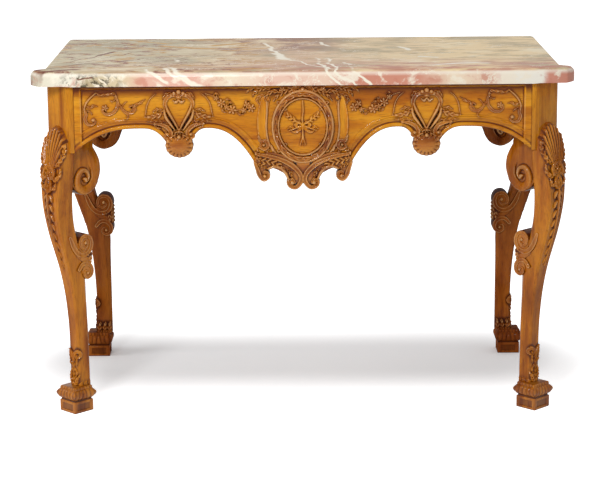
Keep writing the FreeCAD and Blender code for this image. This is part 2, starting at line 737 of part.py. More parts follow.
def feet(dowels):
    """Square feet with a sunk panel in each face of the plinth."""
    for corner, sx, sy in CORNERS:
        body = foot_body(corner)
        body.Placement = foot_place(sx, sy)
        panels = []
        along = ("-(FootSide / 2 - PlinthFrame)", "FootSide / 2 - PlinthFrame")
        level = ("PlinthRail", "PlinthHigh - PlinthRail")
        for side, sign in SIDES:
            deep = mirrored(sign, "FootSide / 2 - PlinthSink", "FootSide / 2")
            panels.append(box(f"plinth_panel_x_{side}_{corner}", deep, along, level))
            panels.append(box(f"plinth_panel_y_{side}_{corner}", along, deep, level))
        sunk = group(f"plinth_panels_{corner}", panels)
        sunk.Placement = foot_place(sx, sy)
        keep(f"foot_{corner}", cut(f"foot_{corner}", body, [sunk, dowels[corner]]))


# ---------------------------------------------------------------- brackets and shin scrolls

def spiral_line(centre, radius, turns, start_angle, shrink, steps):
    """Points of a volute that winds clockwise and tightens towards its eye."""
    points = []
    for step in range(steps + 1):
        share = step / steps
        angle = math.radians(start_angle - turns * 360 * share)
        reach = radius * (1 - shrink * share ** 0.9)
        points.append(centre + Vec(math.cos(angle), 0, math.sin(angle)) * reach)
    return points


def band_face(points, root, tip):
    """A ribbon along a line of points in the XZ plane, from one width to another."""
    left = []
    right = []
    for index, point in enumerate(points):
        before = points[max(index - 1, 0)]
        after = points[min(index + 1, len(points) - 1)]
        along = (after - before).normalize()
        share = index / (len(points) - 1)
        across = Vec(along.z, 0, -along.x) * ((root + (tip - root) * share) / 2)
        left.append(point + across)
        right.append(point - across)
    return face_of(left + right[::-1])


def slab_of(face, width):
    """A face in the XZ plane thickened evenly to both sides."""
    solid = face.extrude(Vec(0, width, 0))
    solid.translate(Vec(0, -width / 2, 0))
    return solid


def ring_at(centre, wide, high, sides):
    """Points of an upright many-sided ring in a plane across Y."""
    ring = []
    for step in range(sides):
        turn = 2 * math.pi * step / sides
        ring.append(centre + Vec(wide * math.sin(turn), 0, high * math.cos(turn)))
    return ring


def roll(centre, radius, width, waist, sides=10):
    """A many-sided roll along Y whose middle is drawn in to a share of its radius."""
    rings = []
    for place in ((-1, -0.5, 0, 0.5, 1) if waist < 1 else (-1, 1)):
        reach = radius * (waist + (1 - waist) * place ** 2)
        rings.append(ring_at(centre + Vec(0, place * width / 2, 0), reach, reach, sides))
    return faceted(rings)


def bracket_shape(width, drop, top):
    """A volute bracket: a web with a spiral band standing proud of both cheeks and a round eye."""
    shelf = size(RAIL_LOW)
    centre = Vec(size("VoluteAt"), 0, shelf - drop)
    radius = size("VoluteRadius")
    band = size("VoluteBand")
    seat = -size("BracketSeat")
    tongue = centre.x - radius * 0.1
    head = centre.x + radius * 0.46
    sweep = spiral_line(centre, radius, 0.6, VOLUTE_START, 0.12, 9)
    neck = Vec(centre.x + radius * 0.64, 0, (shelf + sweep[0].z) / 2)
    outline = [Vec(head, 0, top), Vec(head, 0, shelf), neck] + sweep
    outline += [
        Vec(seat, 0, centre.z + radius * 0.3),
        Vec(seat, 0, shelf),
        Vec(tongue, 0, shelf),
        Vec(tongue, 0, top),
    ]
    web = slab_of(face_of(outline), width - 2 * size("VoluteSink"))
    start = centre + Vec(radius * 0.34, 0, shelf - centre.z)
    inner = spiral_line(centre, radius - band / 2, VOLUTE_TURNS, VOLUTE_START, 0.72, 18)
    whorl = slab_of(band_face([start] + inner, band, band * 0.5), width)
    return web.fuse([whorl, roll(centre, band * 0.5, width, 1)]).removeSplitter()


def brackets(made_legs):
    """Volute brackets on the inner side of the legs, up to the rails they steady."""
    for corner, sx, sy in CORNERS:
        if sy < 0:
            wide, drop, top = "VoluteWide", "VoluteDrop", BLOCK_LOW
        else:
            wide, drop, top = "BackVoluteWide", "BackVoluteDrop", f"{RAIL_TOP} - BackHigh"
        shape = bracket_shape(size(wide), size(drop), size(top))
        blank = feature(f"bracket_blank_{corner}", shape, foot_place(sx, sy))
        room = [made_legs[corner], finished[f"corner_block_{corner}"]]
        keep(f"bracket_{corner}", cut(f"bracket_{corner}", blank, room))


def shin_scroll_shape():
    """Two rolls with a pointed leaf between them, as one block on the inner side of the shin."""
    upper = Vec(size("RollAt"), 0, shaft_level(size("RollShare")))
    lower = Vec(size("CurlAt"), 0, shaft_level(size("CurlShare")))
    big = size("RollRadius")
    small = size("CurlRadius")
    between_them = (upper.z + lower.z) / 2
    leaf = [
        upper + Vec(-big * 1.3, 0, -big * 0.6),
        upper + Vec(big * 0.8, 0, -big * 0.5),
        Vec(lower.x + small * 1.3, 0, between_them + small * 0.9),
        Vec(lower.x + small * 1.7, 0, between_them + small * 0.2),
        Vec(lower.x + small * 1.3, 0, between_them - small * 0.6),
        lower + Vec(small * 0.5, 0, small * 0.4),
        lower + Vec(-small * 1.6, 0, -small * 0.2),
    ]
    web = slab_of(face_of(leaf), size("CurlWide") * 0.8)
    rolls = [roll(upper, big, size("RollWide"), 0.8), roll(lower, small, size("CurlWide"), 0.85)]
    return web.fuse(rolls).removeSplitter()


def shin_scrolls(made_legs):
    """A shin scroll for each leg, cut to the leg's face."""
    for corner, sx, sy in CORNERS:
        blank = feature(f"shin_blank_{corner}", shin_scroll_shape(), foot_place(sx, sy))
        keep(f"shin_scroll_{corner}", cut(f"shin_scroll_{corner}", blank, [made_legs[corner]]))


# ---------------------------------------------------------------- carving on the rails

def relief(faces, back, front):
    """Thicken faces of the XZ plane from one depth to another and join them."""
    solids = []
    for face in faces:
        solid = face.extrude(Vec(0, front - back, 0))
        solid.translate(Vec(0, back, 0))
        solids.append(solid)
    whole = solids[0]
    if len(solids) > 1:
        whole = solids[0].fuse(solids[1:]).removeSplitter()
    return whole


def leafy_band(anchor, sign, offsets, root, tip, stretch=1):
    """A carved strap through points beside an anchor, mirrored for the other side."""
    points = [Vec(anchor + sign * dx * stretch, 0, size(RAIL_TOP) + dz) for dx, dz in offsets]
    return band_face(smooth_points(points, len(points) + 2), root, tip)


# Middle lines of the carved straps: distance from the anchor, and distance from the rail's top edge.
SPRAY_STEM = ((-57, -19), (-37, -39), (-28, -57), (-29, -72), (-39, -95), (-50, -92))
SPRAY_SCROLL = ((-57, -19), (-84, -18), (-105, -30), (-107, -52), (-99, -69), (-84, -72))
SPRAY_SPRIG = ((-112, -58), (-124, -64), (-142, -67), (-152, -54), (-174, -37))
LYRE_STRAP = ((-2, -105), (16, -82), (28, -62), (27, -42), (12, -31), (-5, -38))
SHELL_ARC = ((57, -24), (73, -39), (80, -60), (80, -79))
SHELL_LEAF = ((80, -79), (52, -76), (34, -66))
EDGE_CURL = ((45, -108), (34, -118), (25, -130))
GARLAND = ((-84, -22), (-104, -44), (-130, -62), (-155, -60), (-174, -54))
BLOSSOMS = ((-103, -46, 12), (-130, -60, 13), (-172, -54, 12))


def strapwork(anchor):
    """The lyre of crossed straps over a shell, with an arc and a leaf on each side."""
    faces = []
    for sign in (1, -1):
        faces.append(leafy_band(anchor, sign, LYRE_STRAP, 8, 6))
        faces.append(leafy_band(anchor, sign, SHELL_ARC, 5, 7))
        faces.append(leafy_band(anchor, sign, SHELL_LEAF, 4, 14))
        faces.append(leafy_band(anchor, sign, EDGE_CURL, 6, 12))
    return faces


def spray(anchor, sign, stretch=1):
    """The acanthus scroll and its stem at the end of a rail."""
    return [
        leafy_band(anchor, sign, SPRAY_STEM, 9, 7, stretch),
        leafy_band(anchor, sign, SPRAY_SCROLL, 7, 9, stretch),
    ]


def filling(length, offsets):
    """The stretch along the rail that lets a drawn strap end at a length from its anchor."""
    return length / max(abs(dx) for dx, dz in offsets)


def fluted_shell(anchor):
    """A scallop shell, hub up: ridges and valleys that spread from the hub to a lobed lower edge."""
    half = size("ShellHalf")
    low = size(f"{RAIL_TOP} - RailShell - ShellDrop")
    tall = size("ShellTall")
    proud = size("PendantProud")
    flutes = round(size("ShellFlutes"))
    middle = low + tall / 2
    opening = math.radians(SHELL_OPENING)
    spread = (math.pi - opening) / flutes
    rim = []
    for step in range(2 * flutes + 1):
        turn = opening + spread * step
        reach, rise = (1, 0.75) if step % 2 else (0.9, 0.25)
        x = anchor + half * reach * math.sin(turn)
        z = middle + tall / 2 * reach * math.cos(turn)
        rim.append(Vec(x, -proud * rise, z))
    hub = Vec(anchor, -proud, low + tall * 0.86)
    back = size("RailThick / 2")
    behind = [Vec(point.x, back, point.z) for point in rim]
    hub_behind = Vec(hub.x, back, hub.z)
    faces = []
    for index in range(len(rim) - 1):
        faces.append(face_of([hub, rim[index], rim[index + 1]]))
        faces.append(face_of([rim[index], behind[index], behind[index + 1]]))
        faces.append(face_of([rim[index], behind[index + 1], rim[index + 1]]))
    faces.append(face_of([hub, hub_behind, behind[0]]))
    faces.append(face_of([hub, behind[0], rim[0]]))
    faces.append(face_of([hub, rim[-1], behind[-1]]))
    faces.append(face_of([hub, behind[-1], hub_behind]))
    faces.append(face_of([hub_behind] + behind[::-1]))
    return solid_of(faces)


def blossom(spot, back, radius, proud, sides=8):
    """A many-sided button flower that narrows to the front."""
    rings = []
    for depth, share in ((0, 1), (proud * 0.6, 0.9), (proud, 0.5)):
        rings.append(ring_at(spot + Vec(0, back - depth, 0), radius * share, radius * share, sides))
    return faceted(rings)


def on_rail(sx):
    """Placement that takes a front-facing piece at Y = 0 to the front rail or to a side rail."""
    if sx == 0:
        return FreeCAD.Placement(Vec(0, size(FRONT_FACE), 0), FreeCAD.Rotation())
    return FreeCAD.Placement(Vec(sx * size(SIDE_FACE), 0, 0), FreeCAD.Rotation(UP, 90 * sx))


def applied(name, shape, room, sx):
    """A carving glued on a rail: its back and edges are cut to the surfaces that it meets."""
    blank = feature(name + "_blank", shape, on_rail(sx))
    return keep(name, cut(name, blank, room))


def front_carvings(rail):
    """The two shells of the front rail with their straps, garlands and corner sprays."""
    panel = size("PanelSink")
    proud = size("CarvingProud")
    outer = filling(size(f"{POST_X} - ShellAt - StrapReach"), SPRAY_SPRIG)
    inner = filling(size("ShellAt - MiddleHalf - GarlandGap"), GARLAND)
    for side, sign in SIDES:
        anchor = sign * size("ShellAt")
        shell = applied(f"shell_pendant_{side}", fluted_shell(anchor), [rail], 0)
        straps = relief(strapwork(anchor), panel, panel - proud)
        strap_node = applied(f"strapwork_{side}", straps, [rail, shell], 0)
        end = sign * size(POST_X)
        leaves = spray(end, sign, outer) + [leafy_band(end, sign, SPRAY_SPRIG, 9, 5, outer)]
        applied(f"corner_spray_{side}", relief(leaves, panel, panel - proud), [rail], 0)
        garland = relief([leafy_band(anchor, sign, GARLAND, 4, 4, inner)], panel, panel - proud * 0.6)
        blooms = []
        for dx, dz, radius in BLOSSOMS:
            spot = Vec(anchor + sign * dx * inner, 0, size(RAIL_TOP) + dz)
            blooms.append(blossom(spot, panel, radius, proud))
        whole = garland.fuse(blooms).removeSplitter()
        applied(f"flower_garland_{side}", whole, [rail, strap_node], 0)


def side_carvings(rails):
    """The shell, straps and sprays of each side rail."""
    panel = size("PanelSink")
    proud = size("CarvingProud")
    for side, sx in SIDES:
        rail = rails[side]
        shell = applied(f"side_shell_{side}", fluted_shell(0), [rail], sx)
        applied(f"side_strapwork_{side}", relief(strapwork(0), panel, panel - proud), [rail, shell], sx)
        sprays = [relief(spray(sign * size(POST_Y), sign), panel, panel - proud) for sign in (1, -1)]
        applied(f"side_sprays_{side}", Part.makeCompound(sprays), [rail], sx)


def oval(half_wide, half_high, depth, sides=28):
    """An upright oval of short straight sides about the middle of the cartouche."""
    return ring_at(Vec(0, depth, size(f"{RAIL_TOP} - CartoucheDrop")), half_wide, half_high, sides)


def oval_plug(half_wide, half_high, inward):
    """An oval plug off the sunk panel whose front half slopes inward or outward."""
    proud = size("WreathProud")
    rings = []
    for rise, step in ((0, 0), (proud / 2, 0), (proud, inward)):
        rings.append(oval(half_wide - step, half_high - step, size("PanelSink") - rise))
    return faceted(rings)


def cartouche(rail):
    """The middle of the front rail: an oval field in a moulded wreath between two straps."""
    panel = size("PanelSink")
    field_face = face_of(oval(size("FieldHalf"), size("FieldTall"), 0))
    field = relief([field_face], panel, panel - size("FieldProud"))
    field_node = applied("cartouche_field", field, [rail], 0)

    slope = size("WreathHalf - FieldHalf") * 0.3
    ring = oval_plug(size("WreathHalf"), size("WreathTall"), slope)
    ring = ring.cut(oval_plug(size("FieldHalf"), size("FieldTall"), -slope))
    wreath = applied("cartouche_wreath", ring, [rail, field_node], 0)

    straps = []
    wide = size("StrapWide")
    outer = size("MiddleHalf") - wide
    middle = size(f"{RAIL_TOP} - CartoucheDrop")
    tall = size("WreathTall")
    for sign in (1, -1):
        line = [
            Vec(sign * (outer + wide * 0.6), 0, middle + tall * 0.96),
            Vec(sign * outer, 0, middle + tall * 0.54),
            Vec(sign * (outer + wide * 0.15), 0, middle),
            Vec(sign * (outer - wide * 0.25), 0, middle - tall * 0.4),
            Vec(sign * (outer + wide * 0.2), 0, middle - tall * 0.55),
        ]
        strap = band_face(smooth_points(line, 9), wide, wide * 0.75)
        straps.append(relief([strap], panel, -size("PendantProud") / 2))
    applied("cartouche_straps", Part.makeCompound(straps), [rail, wreath], 0)


def pendant_half(sign):
    """One half of the hanging middle: a plate with a leafy lower edge between two rolled scrolls."""
    low = size(f"{RAIL_TOP} - RailMiddle")
    front = -size("PendantProud")
    thick = size("PendantThick")
    outer = size("MiddleHalf")
    big = Vec(sign * size("BigScrollAt"), 0, low - size("BigScrollDrop"))
    small = Vec(sign * size("SmallScrollAt"), 0, low - size("SmallScrollDrop"))
    waist = (abs(big.x) + abs(small.x)) / 2
    lower = [
        small + Vec(sign * size("SmallScroll") * 0.8, 0, 0),
        small + Vec(-sign * size("SmallScroll") * 0.9, 0, size("SmallScroll") * 0.7),
        Vec(sign * waist, 0, low - size("SmallScrollDrop") * 0.55),
        big + Vec(sign * size("BigScroll"), 0, size("BigScroll") * 0.3),
    ]
    edge = smooth_points(lower, 8) + [big, Vec(0, 0, big.z), Vec(0, 0, low + size("SmallScroll"))]
    rise = low + size("BigScroll")
    edge += [Vec(sign * outer / 2, 0, rise), Vec(sign * outer, 0, rise)]
    solids = [relief([face_of(edge)], front + thick, front + size("VoluteSink"))]
    for centre, radius in ((big, size("BigScroll")), (small, size("SmallScroll"))):
        solids.append(roll(centre + Vec(0, front + thick / 2, 0), radius, thick, 1))
        solids.append(blossom(centre, front, radius * 0.45, size("VoluteSink")))
    return solids


def pendant_scrolls(rail):
    """The hanging middle of the front rail: two pairs of scrolls joined by a leafy plate."""
    solids = pendant_half(1) + pendant_half(-1)
    whole = solids[0].fuse(solids[1:]).removeSplitter()
    room = [rail, finished["cartouche_wreath"], finished["cartouche_straps"]]
    applied("pendant_scrolls", whole, room, 0)


# ---------------------------------------------------------------- assembly

def front_rail_piece(ends, bearer_solids, pegs, screws):
    """The scalloped front rail between the two front posts."""
    board = carved_board("front_rail", front_half(), POST_X)
    board.Placement = on_rail(0)
    whole = fuse("front_rail_whole", [board] + ends)
    room = list(bearer_solids)
    for side, sx in SIDES:
        room += pegs[f"front_{side}"][:2]
        room.append(screws[f"front_{side}"][0])
    return keep("front_rail", cut("front_rail", whole, room))


def side_rail_piece(side, sx, ends, pegs, screws):
    """A scalloped side rail between a front post and a back post."""
    board = carved_board(f"side_rail_{side}", side_half(), POST_Y)
    board.Placement = on_rail(sx)
    whole = fuse(f"side_rail_whole_{side}", [board] + ends)
    room = []
    for end, sy in ENDS:
        room += pegs[f"{end}_{side}"][2:]
        room.append(screws[f"{end}_{side}"][1])
    return keep(f"side_rail_{side}", cut(f"side_rail_{side}", whole, room))


def back_rail_piece(ends, bearer_solids, pegs, screws):
    """The plain back rail, padded forward from the frame's back face."""
    low = f"{RAIL_TOP} - BackHigh"
    corners = [(f"-{POST_X}", low), (POST_X, low), (POST_X, RAIL_TOP), (f"-{POST_X}", RAIL_TOP)]
    plank = polygon_body("back_plank", "XZ_Plane", corners, f"-{BACK_FACE}", "BackThick")
    whole = fuse("back_rail_whole", [plank] + ends)
    room = list(bearer_solids)
    for side, sx in SIDES:
        room += pegs[f"back_{side}"][:2]
        room.append(screws[f"back_{side}"][0])
    return keep("back_rail", cut("back_rail", whole, room))


def build():
    """Every sub-part, neighbours first where one is cut to fit another."""
    marble_top()
    pegs = tenon_pegs()
    screws = block_screws()
    dowels = foot_dowels()
    bearer_solids = bearers()

    front_ends = {f"front_{side}": front_tenon(side, sx) for side, sx in SIDES}
    back_ends = {f"back_{side}": back_tenon(side, sx) for side, sx in SIDES}
    side_ends = {corner: side_tenon(corner, sx, sy) for corner, sx, sy in CORNERS}
    long_ends = {**front_ends, **back_ends}
    tenons = {corner: [long_ends[corner], side_ends[corner]] for corner in side_ends}

    front_rail = front_rail_piece(list(front_ends.values()), bearer_solids, pegs, screws)
    back_rail_piece(list(back_ends.values()), bearer_solids, pegs, screws)
    rails = {}
    for side, sx in SIDES:
        ends = [side_ends[f"{end}_{side}"] for end, sy in ENDS]
        rails[side] = side_rail_piece(side, sx, ends, pegs, screws)

    corner_blocks(screws)
    made_legs = legs(tenons, pegs, dowels)
    feet(dowels)
    brackets(made_legs)
    shin_scrolls(made_legs)
    cartouche(front_rail)
    pendant_scrolls(front_rail)
    front_carvings(front_rail)
    side_carvings(rails)

    keep("tenon_pegs", group("tenon_pegs", [one for row in pegs.values() for one in row]))
    keep("block_screws", group("block_screws", [one for row in screws.values() for one in row]))
    keep("foot_dowels", group("foot_dowels", list(dowels.values())))


build()
doc.recompute()

for thing in doc.Objects:
    if "Invalid" in thing.State or "Error" in thing.State:
        raise RuntimeError(f"{thing.Label} failed to recompute: {thing.State}")
for name, thing in finished.items():
    if thing.Shape.isNull() or not thing.Shape.isValid() or not thing.Shape.Solids:
        raise RuntimeError(f"{name} has no valid shape")

for name, thing in finished.items():
    thing.Shape.exportStep(f"parts/{name}.step")
    box_of = thing.Shape.BoundBox
    print(f"{name:24s} solids {len(thing.Shape.Solids):2d}  volume {thing.Shape.Volume / 1000:9.1f} cm3  "
          f"z {box_of.ZMin:6.1f} to {box_of.ZMax:6.1f}")
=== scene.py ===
# %% [markdown]
# # A carved pier table
# The table is a marble slab on a scalloped walnut frame. Its solid parts come in as a fixed frame
# in metres, and this lesson dresses them: each carved piece is modelled again with its real relief,
# and each surface gets a finish. Carved walnut was once cut from the solid with gouges, so almost
# everything here is a raised drawing on a curved or flat ground.

# %% Load the frame
import math
from contextlib import contextmanager
import bpy
import numpy as np
from mathutils import Matrix, Vector


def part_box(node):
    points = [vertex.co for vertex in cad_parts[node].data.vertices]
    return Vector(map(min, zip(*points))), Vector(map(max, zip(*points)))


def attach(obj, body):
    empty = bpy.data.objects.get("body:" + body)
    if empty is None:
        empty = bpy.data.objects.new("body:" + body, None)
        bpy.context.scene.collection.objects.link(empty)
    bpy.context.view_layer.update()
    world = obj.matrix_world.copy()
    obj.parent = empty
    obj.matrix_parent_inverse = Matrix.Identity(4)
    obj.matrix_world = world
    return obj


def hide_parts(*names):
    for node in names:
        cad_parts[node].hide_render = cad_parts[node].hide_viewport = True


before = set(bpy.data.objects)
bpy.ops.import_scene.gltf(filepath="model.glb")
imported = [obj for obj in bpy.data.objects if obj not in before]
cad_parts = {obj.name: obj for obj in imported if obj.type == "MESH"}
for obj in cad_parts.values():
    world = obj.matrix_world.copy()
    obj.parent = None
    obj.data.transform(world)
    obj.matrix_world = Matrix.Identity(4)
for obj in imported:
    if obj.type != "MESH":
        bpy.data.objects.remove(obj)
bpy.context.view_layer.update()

print(len(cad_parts), "solid parts in the frame")

# %% [markdown]
# The main sizes are read from the solid parts, so a dressed piece sits where the solid one does.
# Everything that is drawn on the carving is given in millimetres, as a carver would mark it out,
# and is turned to metres when a mesh gets its points.

# %% Sizes from the solid parts
def span(node, axis):
    """Lowest and highest place of a solid part on one axis, in millimetres."""
    low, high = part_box(node)
    return low[axis] * 1000, high[axis] * 1000

RAIL_TOP, TABLE_HIGH = span("marble_top", 2)
SIDE_FACE = round(span("side_rail_right", 0)[1])
FRONT_FACE = -round(span("front_rail", 1)[0])
POST_SIDE, POST_HIGH = 70, 168
POST_LOW = RAIL_TOP - POST_HIGH
POST_AT, SIDE_POST_AT = SIDE_FACE - POST_SIDE, FRONT_FACE - POST_SIDE
PANEL_SINK = 4.0
print("slab", TABLE_HIGH - RAIL_TOP, "mm thick on rails that end at", RAIL_TOP)

# %% [markdown]
# The camera stands well back with a long lens, a little above the slab, and looks down on it by
# about thirteen degrees. A camera looks straight down when it isn't turned, so it is rolled first,
# then raised to its tilt, and then turned to the side.

# %% Camera
def add_camera(place, yaw, tilt, roll, lens):
    """A camera at a place, turned by yaw, tilted down and rolled, all in radians."""
    bpy.ops.object.camera_add()
    camera = bpy.context.object
    camera.name = "camera"
    turn = Matrix.Rotation(-yaw, 4, "Z") @ Matrix.Rotation(math.pi / 2 - tilt, 4, "X")
    camera.matrix_world = Matrix.Translation(place) @ turn @ Matrix.Rotation(roll, 4, "Z")
    camera.data.lens = lens
    camera.data.sensor_width = 36
    bpy.context.scene.camera = camera

add_camera(Vector((-0.0178, -5.335, 1.5808)), yaw=0.0017, tilt=0.2219, roll=-0.0077, lens=124.0)
print("camera", [round(v, 3) for v in bpy.context.scene.camera.location])

# %% [markdown]
# A finish is a small net of nodes. Colours are written as they look on a screen and one function
# turns them to the linear values that the renderer works in. Another adds a node, sets its
# settings and sockets, links what feeds it, and hands back the output that the next node needs.

# %% Colour and node helpers
def linear(code):
    """A hex colour as it looks on a screen, in linear light."""
    parts = [int(code[i:i + 2], 16) / 255 for i in (1, 3, 5)]
    return tuple(p / 12.92 if p <= 0.04045 else ((p + 0.055) / 1.055) ** 2.4 for p in parts) + (1.0,)

def node(tree, kind, feeds, out=0, stops=(), **settings):
    """Add a node with its settings, feed its sockets with values, colours or links, and return an output."""
    made = tree.nodes.new("ShaderNode" + kind)
    for name, value in settings.items():
        setattr(made, name, value)
    for name, value in feeds.items():
        if isinstance(value, bpy.types.NodeSocket):
            tree.links.new(value, made.inputs[name])
        else:
            made.inputs[name].default_value = linear(value) if isinstance(value, str) else value
    for number, (position, code) in enumerate(stops):
        points = made.color_ramp.elements
        point = points[number] if number < 2 else points.new(position)
        point.position, point.color = position, linear(code)
    return made.outputs[out]

def finish(name, **shader):
    """A new material with a Principled shader: material, tree, shader sockets and Object coordinates."""
    material = bpy.data.materials.new(name)
    material.use_nodes = True
    tree = material.node_tree
    surface = tree.nodes["Principled BSDF"].inputs
    for socket, value in shader.items():
        surface[socket.replace("_", " ")].default_value = value
    return material, tree, surface, node(tree, "TexCoord", {}, out="Object")

print("helpers ready;", "#C8821E", "is", [round(v, 3) for v in linear("#C8821E")[:3]], "in linear light")

# %% [markdown]
# The table stands on a plain pale floor that keeps its shadow. Floor and world are white to the
# camera and in reflections: the world wholly, and the floor more and more away from a band between
# and behind the front feet, where the shadow shows.

# %% Floor
def seen_ray(tree):
    """1 where a ray comes from the camera, a reflection or clear glass."""
    camera, glossy, clear = (node(tree, "LightPath", {}, out=f"Is {kind} Ray")
                             for kind in ("Camera", "Glossy", "Transmission"))
    either = node(tree, "Math", {0: camera, 1: glossy}, operation="MAXIMUM")
    return node(tree, "Math", {0: either, 1: clear}, operation="MAXIMUM")

def add_floor(near_glow, shade_at):
    """A wide pale floor that keeps a band of shadow at a depth behind the middle and fades to white."""
    bpy.ops.object.select_all(action="DESELECT")
    bpy.ops.mesh.primitive_plane_add(size=40, location=(0, 0, 0))
    floor = bpy.context.object
    floor.name = "floor"
    material, tree, surface, place = finish("pale_studio_floor", Roughness=0.9, Specular_IOR_Level=0.0)
    surface["Base Color"].default_value = linear("#F1F2F4")
    surface["Emission Color"].default_value = (1, 1, 1, 1)
    x, y = (node(tree, "SeparateXYZ", {0: place}, out=axis) for axis in "XY")
    across = node(tree, "Math", {0: x}, operation="ABSOLUTE")
    ends = node(tree, "MapRange", {"Value": across, "From Min": 0.5, "From Max": 0.95, "To Max": 0.5})
    behind = node(tree, "Math", {0: y, 1: shade_at}, operation="SUBTRACT")
    away = node(tree, "VectorMath", {0: node(tree, "CombineXYZ", {"X": ends, "Y": behind})}, out="Value",
                operation="LENGTH")
    glow = node(tree, "MapRange", {"Value": away, "From Min": 0.1, "From Max": 0.5, "To Min": near_glow,
                                   "To Max": 1.0}, interpolation_type="SMOOTHSTEP")
    shown = node(tree, "Math", {0: glow, 1: seen_ray(tree)}, operation="MULTIPLY")
    tree.links.new(shown, surface["Emission Strength"])
    floor.data.materials.append(material)

add_floor(near_glow=0.11, shade_at=0.2)
print("floor laid")

# %% [markdown]
# The world is a plain soft light. Three lamps, as in a studio, light the front, the left and the
# top, at a level where a colour looks as it is written. They are squares of 1 to 2 m, since a
# glossy varnish shows the size of its lamps, and soft edges of shade tell the relief of the carving.

# %% World and lamps
def add_world(strength):
    """White to the camera and to reflections, softer as a lamp."""
    world = bpy.data.worlds.new("studio")
    bpy.context.scene.world = world
    world.use_nodes = True
    tree = world.node_tree
    back = tree.nodes["Background"].inputs
    back["Color"].default_value = (1, 1, 1, 1)
    level = node(tree, "MapRange", {"Value": seen_ray(tree), "To Min": strength, "To Max": 1.0})
    tree.links.new(level, back["Strength"])

def add_lamp(name, place, aim, size, power):
    """A square soft lamp that looks at a point."""
    bpy.ops.object.light_add(type="AREA", location=place)
    lamp = bpy.context.object
    lamp.name = name
    lamp.data.size = size
    lamp.data.energy = power
    lamp.rotation_euler = (Vector(aim) - Vector(place)).to_track_quat("-Z", "Y").to_euler()

add_world(0.4)
add_lamp("front_lamp", (-1.2, -3.6, 2.6), aim=(0, 0, 0.5), size=1.0, power=84)
add_lamp("left_lamp", (-3.2, -0.6, 2.2), aim=(0, 0, 0.5), size=1.4, power=26)
add_lamp("top_lamp", (0.6, 0.4, 3.6), aim=(0, 0, 0.4), size=2.0, power=14)
bpy.context.scene.view_settings.view_transform = "Standard"

# %% [markdown]
# A natural surface is built up in layers: a ground, and over it one colour after another, each
# only where some pattern or place lets it show. One function lays such a colour. Another gives a
# cloudy pattern that may be drawn out along one way, as grain and streaks are.

# %% Layers of colour
def lay(tree, ground, colour, most, *wheres):
    """Lay a colour over a ground, as far as some spans (value, where it starts, where it is full) let it."""
    share = most
    for value, none, full in wheres:
        shown = node(tree, "MapRange", {"Value": value, "From Min": none, "From Max": full})
        share = node(tree, "Math", {0: share, 1: shown}, operation="MULTIPLY")
    return node(tree, "Mix", {0: share, 6: ground, 7: colour}, out=2, data_type="RGBA")

def cloud(tree, place, scale, stretch=(1, 1, 1), turn=0.0, shift=0.0):
    """A fine cloudy pattern of so many clouds a metre, drawn out where the stretch is small."""
    drawn = node(tree, "Mapping", {"Vector": place, "Location": (shift, shift, 0), "Rotation": (0, 0, turn),
                                   "Scale": stretch})
    return node(tree, "TexNoise", {"Vector": drawn, "Scale": scale, "Detail": 9.0, "Roughness": 0.66})

def distance(tree, value, middle):
    """How far a value is from a middle one, either way."""
    off = node(tree, "Math", {0: value, 1: middle}, operation="SUBTRACT")
    return node(tree, "Math", {0: off}, operation="ABSOLUTE")

print("layers ready")

# %% [markdown]
# The slab is breccia marble, sawn, shaped and polished. Limestone was broken in the ground, drawn
# out in streaks and healed with white calcite, and iron has stained it. Its face is grey-green and
# beige at the left, mauve at the back of the middle, and beige at the right, with a rose band along
# the front. The colours change over some 30 cm, the streaks over 1 to 5 cm.

# %% Face of the marble
def marble_face(tree, bent, along, x, y):
    """The upper face: ground, broken patches, streaks, mauve and rose."""
    face = node(tree, "ValToRGB", {"Fac": along}, stops=(
        (0.0, "#D6CBA6"), (1.0, "#F0D4A2"), (0.2, "#D8CBA6"), (0.34, "#DCC298"), (0.5, "#D6B290"),
        (0.62, "#E6CA9E"), (0.8, "#EED2A0")))
    broken = cloud(tree, bent, 5.0, (1.0, 1.5, 1.0), -0.9)
    drawn = cloud(tree, bent, 9.0, (1.0, 4.0, 1.0), -0.95, 3.1)
    face = lay(tree, face, "#A49878", 0.7, (broken, 0.5, 0.38))
    face = lay(tree, face, "#F3E4C2", 0.8, (broken, 0.53, 0.64))
    face = lay(tree, face, "#9C8460", 0.5, (drawn, 0.47, 0.4))
    face = lay(tree, face, "#AFA58C", 0.45, (x, -0.12, -0.4), (y, -0.25, -0.1))
    from_middle = distance(tree, x, -0.09)
    face = lay(tree, face, "#8E5F54", 0.8, (from_middle, 0.22, 0.08), (y, -0.02, 0.12), (broken, 0.54, 0.47))
    return lay(tree, face, "#C27F6C", 0.8, (y, -0.1, -0.24), (x, -0.75, 0.12), (drawn, 0.6, 0.46))

print("marble face ready")
